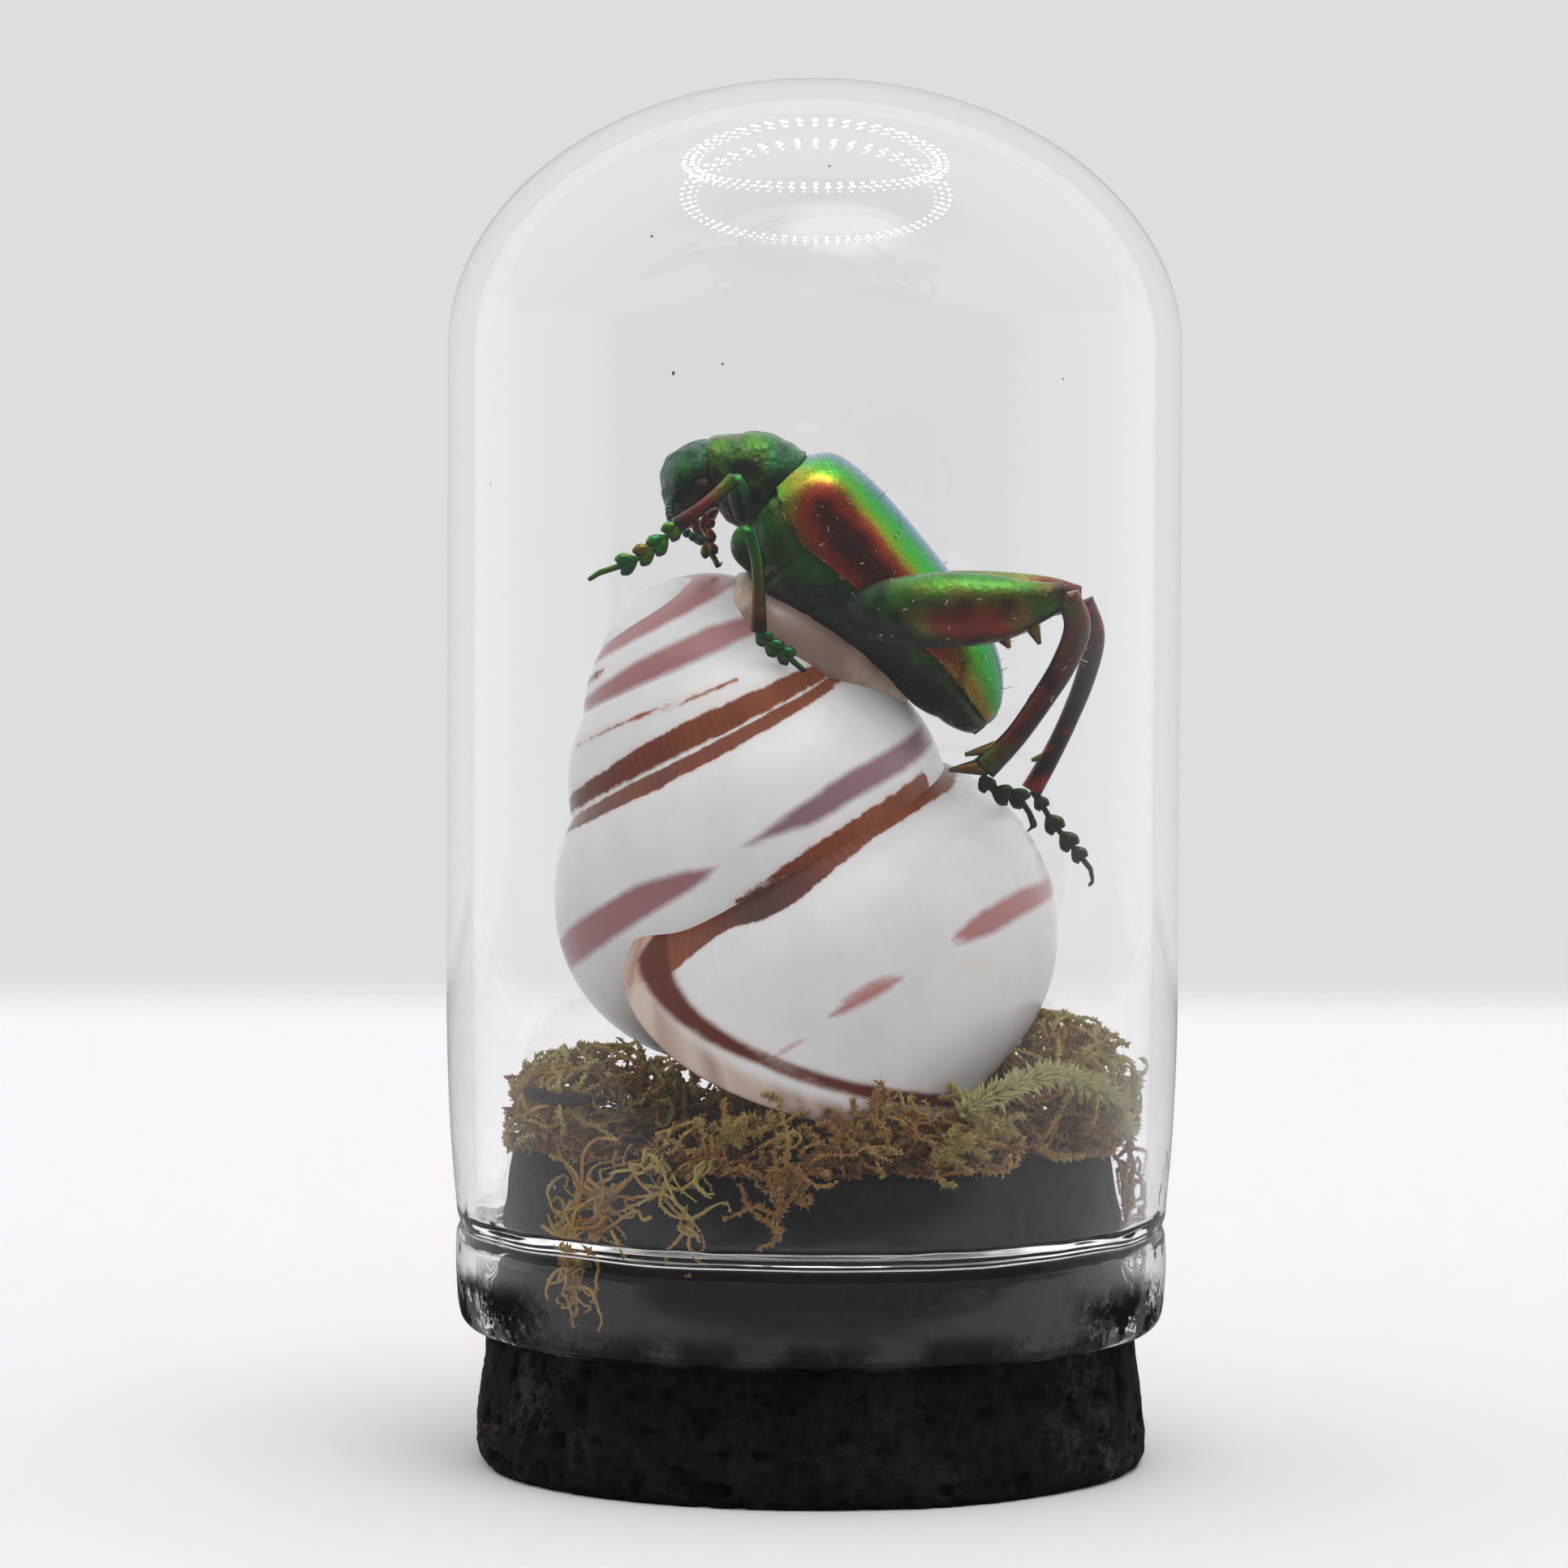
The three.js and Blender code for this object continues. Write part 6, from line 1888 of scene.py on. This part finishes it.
# ------------------------------------------------------------------ studio
@dataclass
class Studio:
    """A pale table, plain light from all round, and rings of small lamps round the lens."""

    camera_place: Vec = (-1.511, -550.0, 87.0)
    look_down: float = 5.36
    roll: float = 0.25
    lens: float = 244.31
    table_half: float = 228.0
    table_front: float = -95.0
    table_fade: float = 34.0
    lamps: int = 60
    lamp_rings: tuple[tuple[float, float], ...] = ((114.0, 0.0), (106.0, 0.0), (93.0, 95.0), (86.0, 95.0))
    lamp_height: float = 285.0
    eye_level: float = 1.18
    zenith: float = 1.66
    key: float = 6.0
    glass_gain: float = 1.1
    soft_bounces: int = 3

    def camera(self) -> None:
        """Sets the camera: a long lens, looking a little down."""
        data = bpy.data.cameras.new("long_lens")
        data.lens, data.sensor_width = self.lens, 36.0
        data.clip_start, data.clip_end = 0.01, 20.0
        camera = bpy.data.objects.new("long_lens", data)
        turn = math.radians(90 - self.look_down)
        roll = math.radians(self.roll)
        camera.rotation_euler = (turn, 0, 0)
        camera.rotation_euler.rotate_axis("Z", roll)
        camera.location = [c * MM for c in self.camera_place]
        bpy.context.scene.collection.objects.link(camera)
        bpy.context.scene.camera = camera

    def plain(self, name: str, code: str, glow: float = 0.0) -> bpy.types.Material:
        """Makes a plain matte or glowing studio material.

        Args:
            name: The material's name.
            code: Its sRGB colour.
            glow: Emission strength.

        Returns:
            The material.
        """
        material, tree = blank_material(name)
        shader = add(tree, "BsdfPrincipled", {"Base Color": linear(code), "Roughness": 0.9,
            "Specular IOR Level": 0.1, "Emission Color": linear(code), "Emission Strength": glow})
        add(tree, "OutputMaterial", {0: shader})
        return material

    def faded(self, material: bpy.types.Material) -> bpy.types.Material:
        """Makes the table's material clear towards the sheet's edges.

        Args:
            material: The plain material.

        Returns:
            The same material, with its far, near and side edges soft.
        """
        tree = material.node_tree
        end = next(node for node in tree.nodes if node.type == "OUTPUT_MATERIAL")
        shader = end.inputs[0].links[0].from_socket
        axes = add(tree, "SeparateXYZ", {0: add(tree, "TexCoord").outputs["Object"]})
        across = add(tree, "Math", {0: axes}, operation="ABSOLUTE")
        edge, front, fade = self.table_half * MM, self.table_front * MM, self.table_fade * MM
        side = add(tree, "MapRange", {0: across, 1: edge - fade, 2: edge, 3: 1.0, 4: 0.0},
            interpolation_type="SMOOTHSTEP")
        far = add(tree, "MapRange", {0: axes.outputs[1], 1: edge - fade, 2: edge, 3: 1.0, 4: 0.0},
            interpolation_type="SMOOTHSTEP")
        near = add(tree, "MapRange", {0: axes.outputs[1], 1: front, 2: front + fade},
            interpolation_type="SMOOTHSTEP")
        there = add(tree, "Math", {0: side, 1: far}, operation="MULTIPLY")
        there = add(tree, "Math", {0: there, 1: near}, operation="MULTIPLY")
        clear = add(tree, "BsdfTransparent")
        mixed = add(tree, "MixShader", {0: there, 1: clear, 2: shader})
        tree.links.new(mixed.outputs[0], end.inputs[0])
        return material

    def table(self) -> None:
        """Lays the table: a white sheet at height 0 that fades out to the backdrop at its edges."""
        side = self.table_half
        x, y = np.meshgrid([-side, side], [self.table_front, side])
        points = np.stack([x, y, 0 * x], axis=-1)
        top = Surface.from_grid(points, around=False, capped=False)
        mesh = bpy.data.meshes.new("table")
        mesh.from_pydata((top.points * MM).tolist(), [], top.quads.tolist())
        mesh.materials.append(self.faded(self.plain("matt_white_laminate", "#c4c2c5")))
        piece = bpy.data.objects.new("table", mesh)
        bpy.context.scene.collection.objects.link(piece)

    def ring_lamp(self) -> None:
        """Hangs two rings of small round lamps overhead; only shiny things and glass see them."""
        turn = np.linspace(0, FULL_TURN, self.lamps, endpoint=False)
        centres = [(reach * math.cos(t), back + reach * math.sin(t), self.lamp_height)
            for reach, back in self.lamp_rings for t in turn]
        bulbs = Surface.joined([ball(centre, (1.6, 1.6, 1.0), 10, 6) for centre in centres])
        mesh = bpy.data.meshes.new("ring_lamp")
        mesh.from_pydata((bulbs.points * MM).tolist(), [], bulbs.quads.tolist() + bulbs.triangles.tolist())
        mesh.materials.append(self.plain("lamp_light", "#ffffff", 160.0))
        piece = bpy.data.objects.new("ring_lamp", mesh)
        piece.visible_camera = piece.visible_diffuse = piece.visible_shadow = False
        mesh.materials[0].cycles.emission_sampling = "NONE"
        bpy.context.scene.collection.objects.link(piece)

    def air(self) -> None:
        """Fills the room with soft light from above and one broad key, before a pale backdrop.

        What is seen straight or through the glass is the backdrop. What lights the object is
        the room: dim at eye level and brighter by a smooth step towards the zenith. What is
        mirrored sees a dimmer room before the object, and the glass's own first reflections
        see the backdrop behind it.
        """
        world = bpy.data.worlds.new("pale_room")
        world.use_nodes = True
        tree = world.node_tree
        tree.nodes.clear()
        path = add(tree, "LightPath")
        heading = add(tree, "TexCoord").outputs["Generated"]
        ways = add(tree, "SeparateXYZ", {0: heading})
        broad = add(tree, "MapRange", {0: ways.outputs[2], 1: 0.1, 2: 0.95, 3: self.eye_level,
            4: self.zenith}, interpolation_type="SMOOTHSTEP")
        toward = add(tree, "VectorMath", {0: heading, 1: (0.12, -0.27, 0.955)}, operation="DOT_PRODUCT")
        key = add(tree, "MapRange", {0: toward.outputs["Value"], 1: 0.955, 2: 0.99, 3: 0.0, 4: self.key},
            interpolation_type="SMOOTHSTEP")
        room = add(tree, "Math", {0: broad, 1: key}, operation="ADD")
        aside = add(tree, "Math", {0: path.outputs["Diffuse Depth"], 1: path.outputs["Glossy Depth"]},
            operation="ADD")
        unlit = add(tree, "Math", {0: aside, 1: 0.5}, operation="LESS_THAN")
        through = add(tree, "Math", {0: path.outputs["Is Transmission Ray"], 1: unlit},
            operation="MULTIPLY")
        mirrored = add(tree, "Math", {0: path.outputs["Glossy Depth"], 1: 0.5}, operation="GREATER_THAN")
        early = add(tree, "Math", {0: path.outputs["Ray Depth"], 1: 4.5}, operation="LESS_THAN")
        shallow = add(tree, "Math", {0: mirrored, 1: early}, operation="MULTIPLY")
        behind = add(tree, "MapRange", {0: ways.outputs[1], 1: -0.2, 2: 0.55},
            interpolation_type="SMOOTHSTEP")
        before = add(tree, "MapRange", {0: ways.outputs[1], 1: 0.0, 2: -0.5, 3: 0.0, 4: 0.8},
            interpolation_type="SMOOTHSTEP")
        under = add(tree, "MapRange", {0: ways.outputs[2], 1: 0.55, 2: 0.88, 3: 1.0, 4: 0.0},
            interpolation_type="SMOOTHSTEP")
        front = add(tree, "Math", {0: before, 1: under}, operation="MULTIPLY")
        front = add(tree, "Math", {0: front, 1: mirrored}, operation="MULTIPLY")
        first = add(tree, "Math", {0: shallow, 1: 0.8}, operation="MULTIPLY")
        lost = add(tree, "Math", {0: front, 1: first}, operation="MAXIMUM")
        kept = add(tree, "Math", {0: 1.0, 1: lost}, operation="SUBTRACT")
        glanced = add(tree, "Math", {0: shallow, 1: behind}, operation="MULTIPLY")
        seen = add(tree, "Math", {0: through, 1: path.outputs["Is Camera Ray"]}, operation="MAXIMUM")
        straight = add(tree, "Math", {0: seen, 1: glanced}, operation="MAXIMUM")
        lit = add(tree, "Math", {0: room, 1: kept}, operation="MULTIPLY")
        gain = add(tree, "MapRange", {0: through, 3: 1.0, 4: self.glass_gain})
        strength = add(tree, "Mix", {0: straight, 2: lit, 3: gain}, data_type="FLOAT")
        tone = add(tree, "Mix", {0: straight, 6: linear("#fbf9fb"), 7: linear("#dfdde0")}, data_type="RGBA")
        light = add(tree, "Background", {0: tone.outputs[2], 1: strength})
        add(tree, "OutputWorld", {0: light})
        world.cycles.sampling_method = "NONE"
        bpy.context.scene.world = world

    def set_up(self) -> None:
        """Builds the whole studio."""
        scene = bpy.context.scene
        scene.view_settings.view_transform = "Standard"
        scene.view_settings.look = "None"
        scene.cycles.diffuse_bounces = self.soft_bounces
        self.camera()
        self.air()
        self.table()
        self.ring_lamp()


def main() -> None:
    """Builds every sub-assembly in order."""
    logging.basicConfig(level=logging.INFO, format="%(message)s")
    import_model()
    Studio().set_up()
    shell = SnailShell()
    for part in (GlassDome(), CorkStopper(), shell):
        log.info("made %s", part.make().name)
    GlueBead().make()
    log.info("beetle: %d pieces", len(Beetle().make()))
    log.info("moss: %d pieces", len(MossBed().make(shell)))


if __name__ == "__main__":
    main()
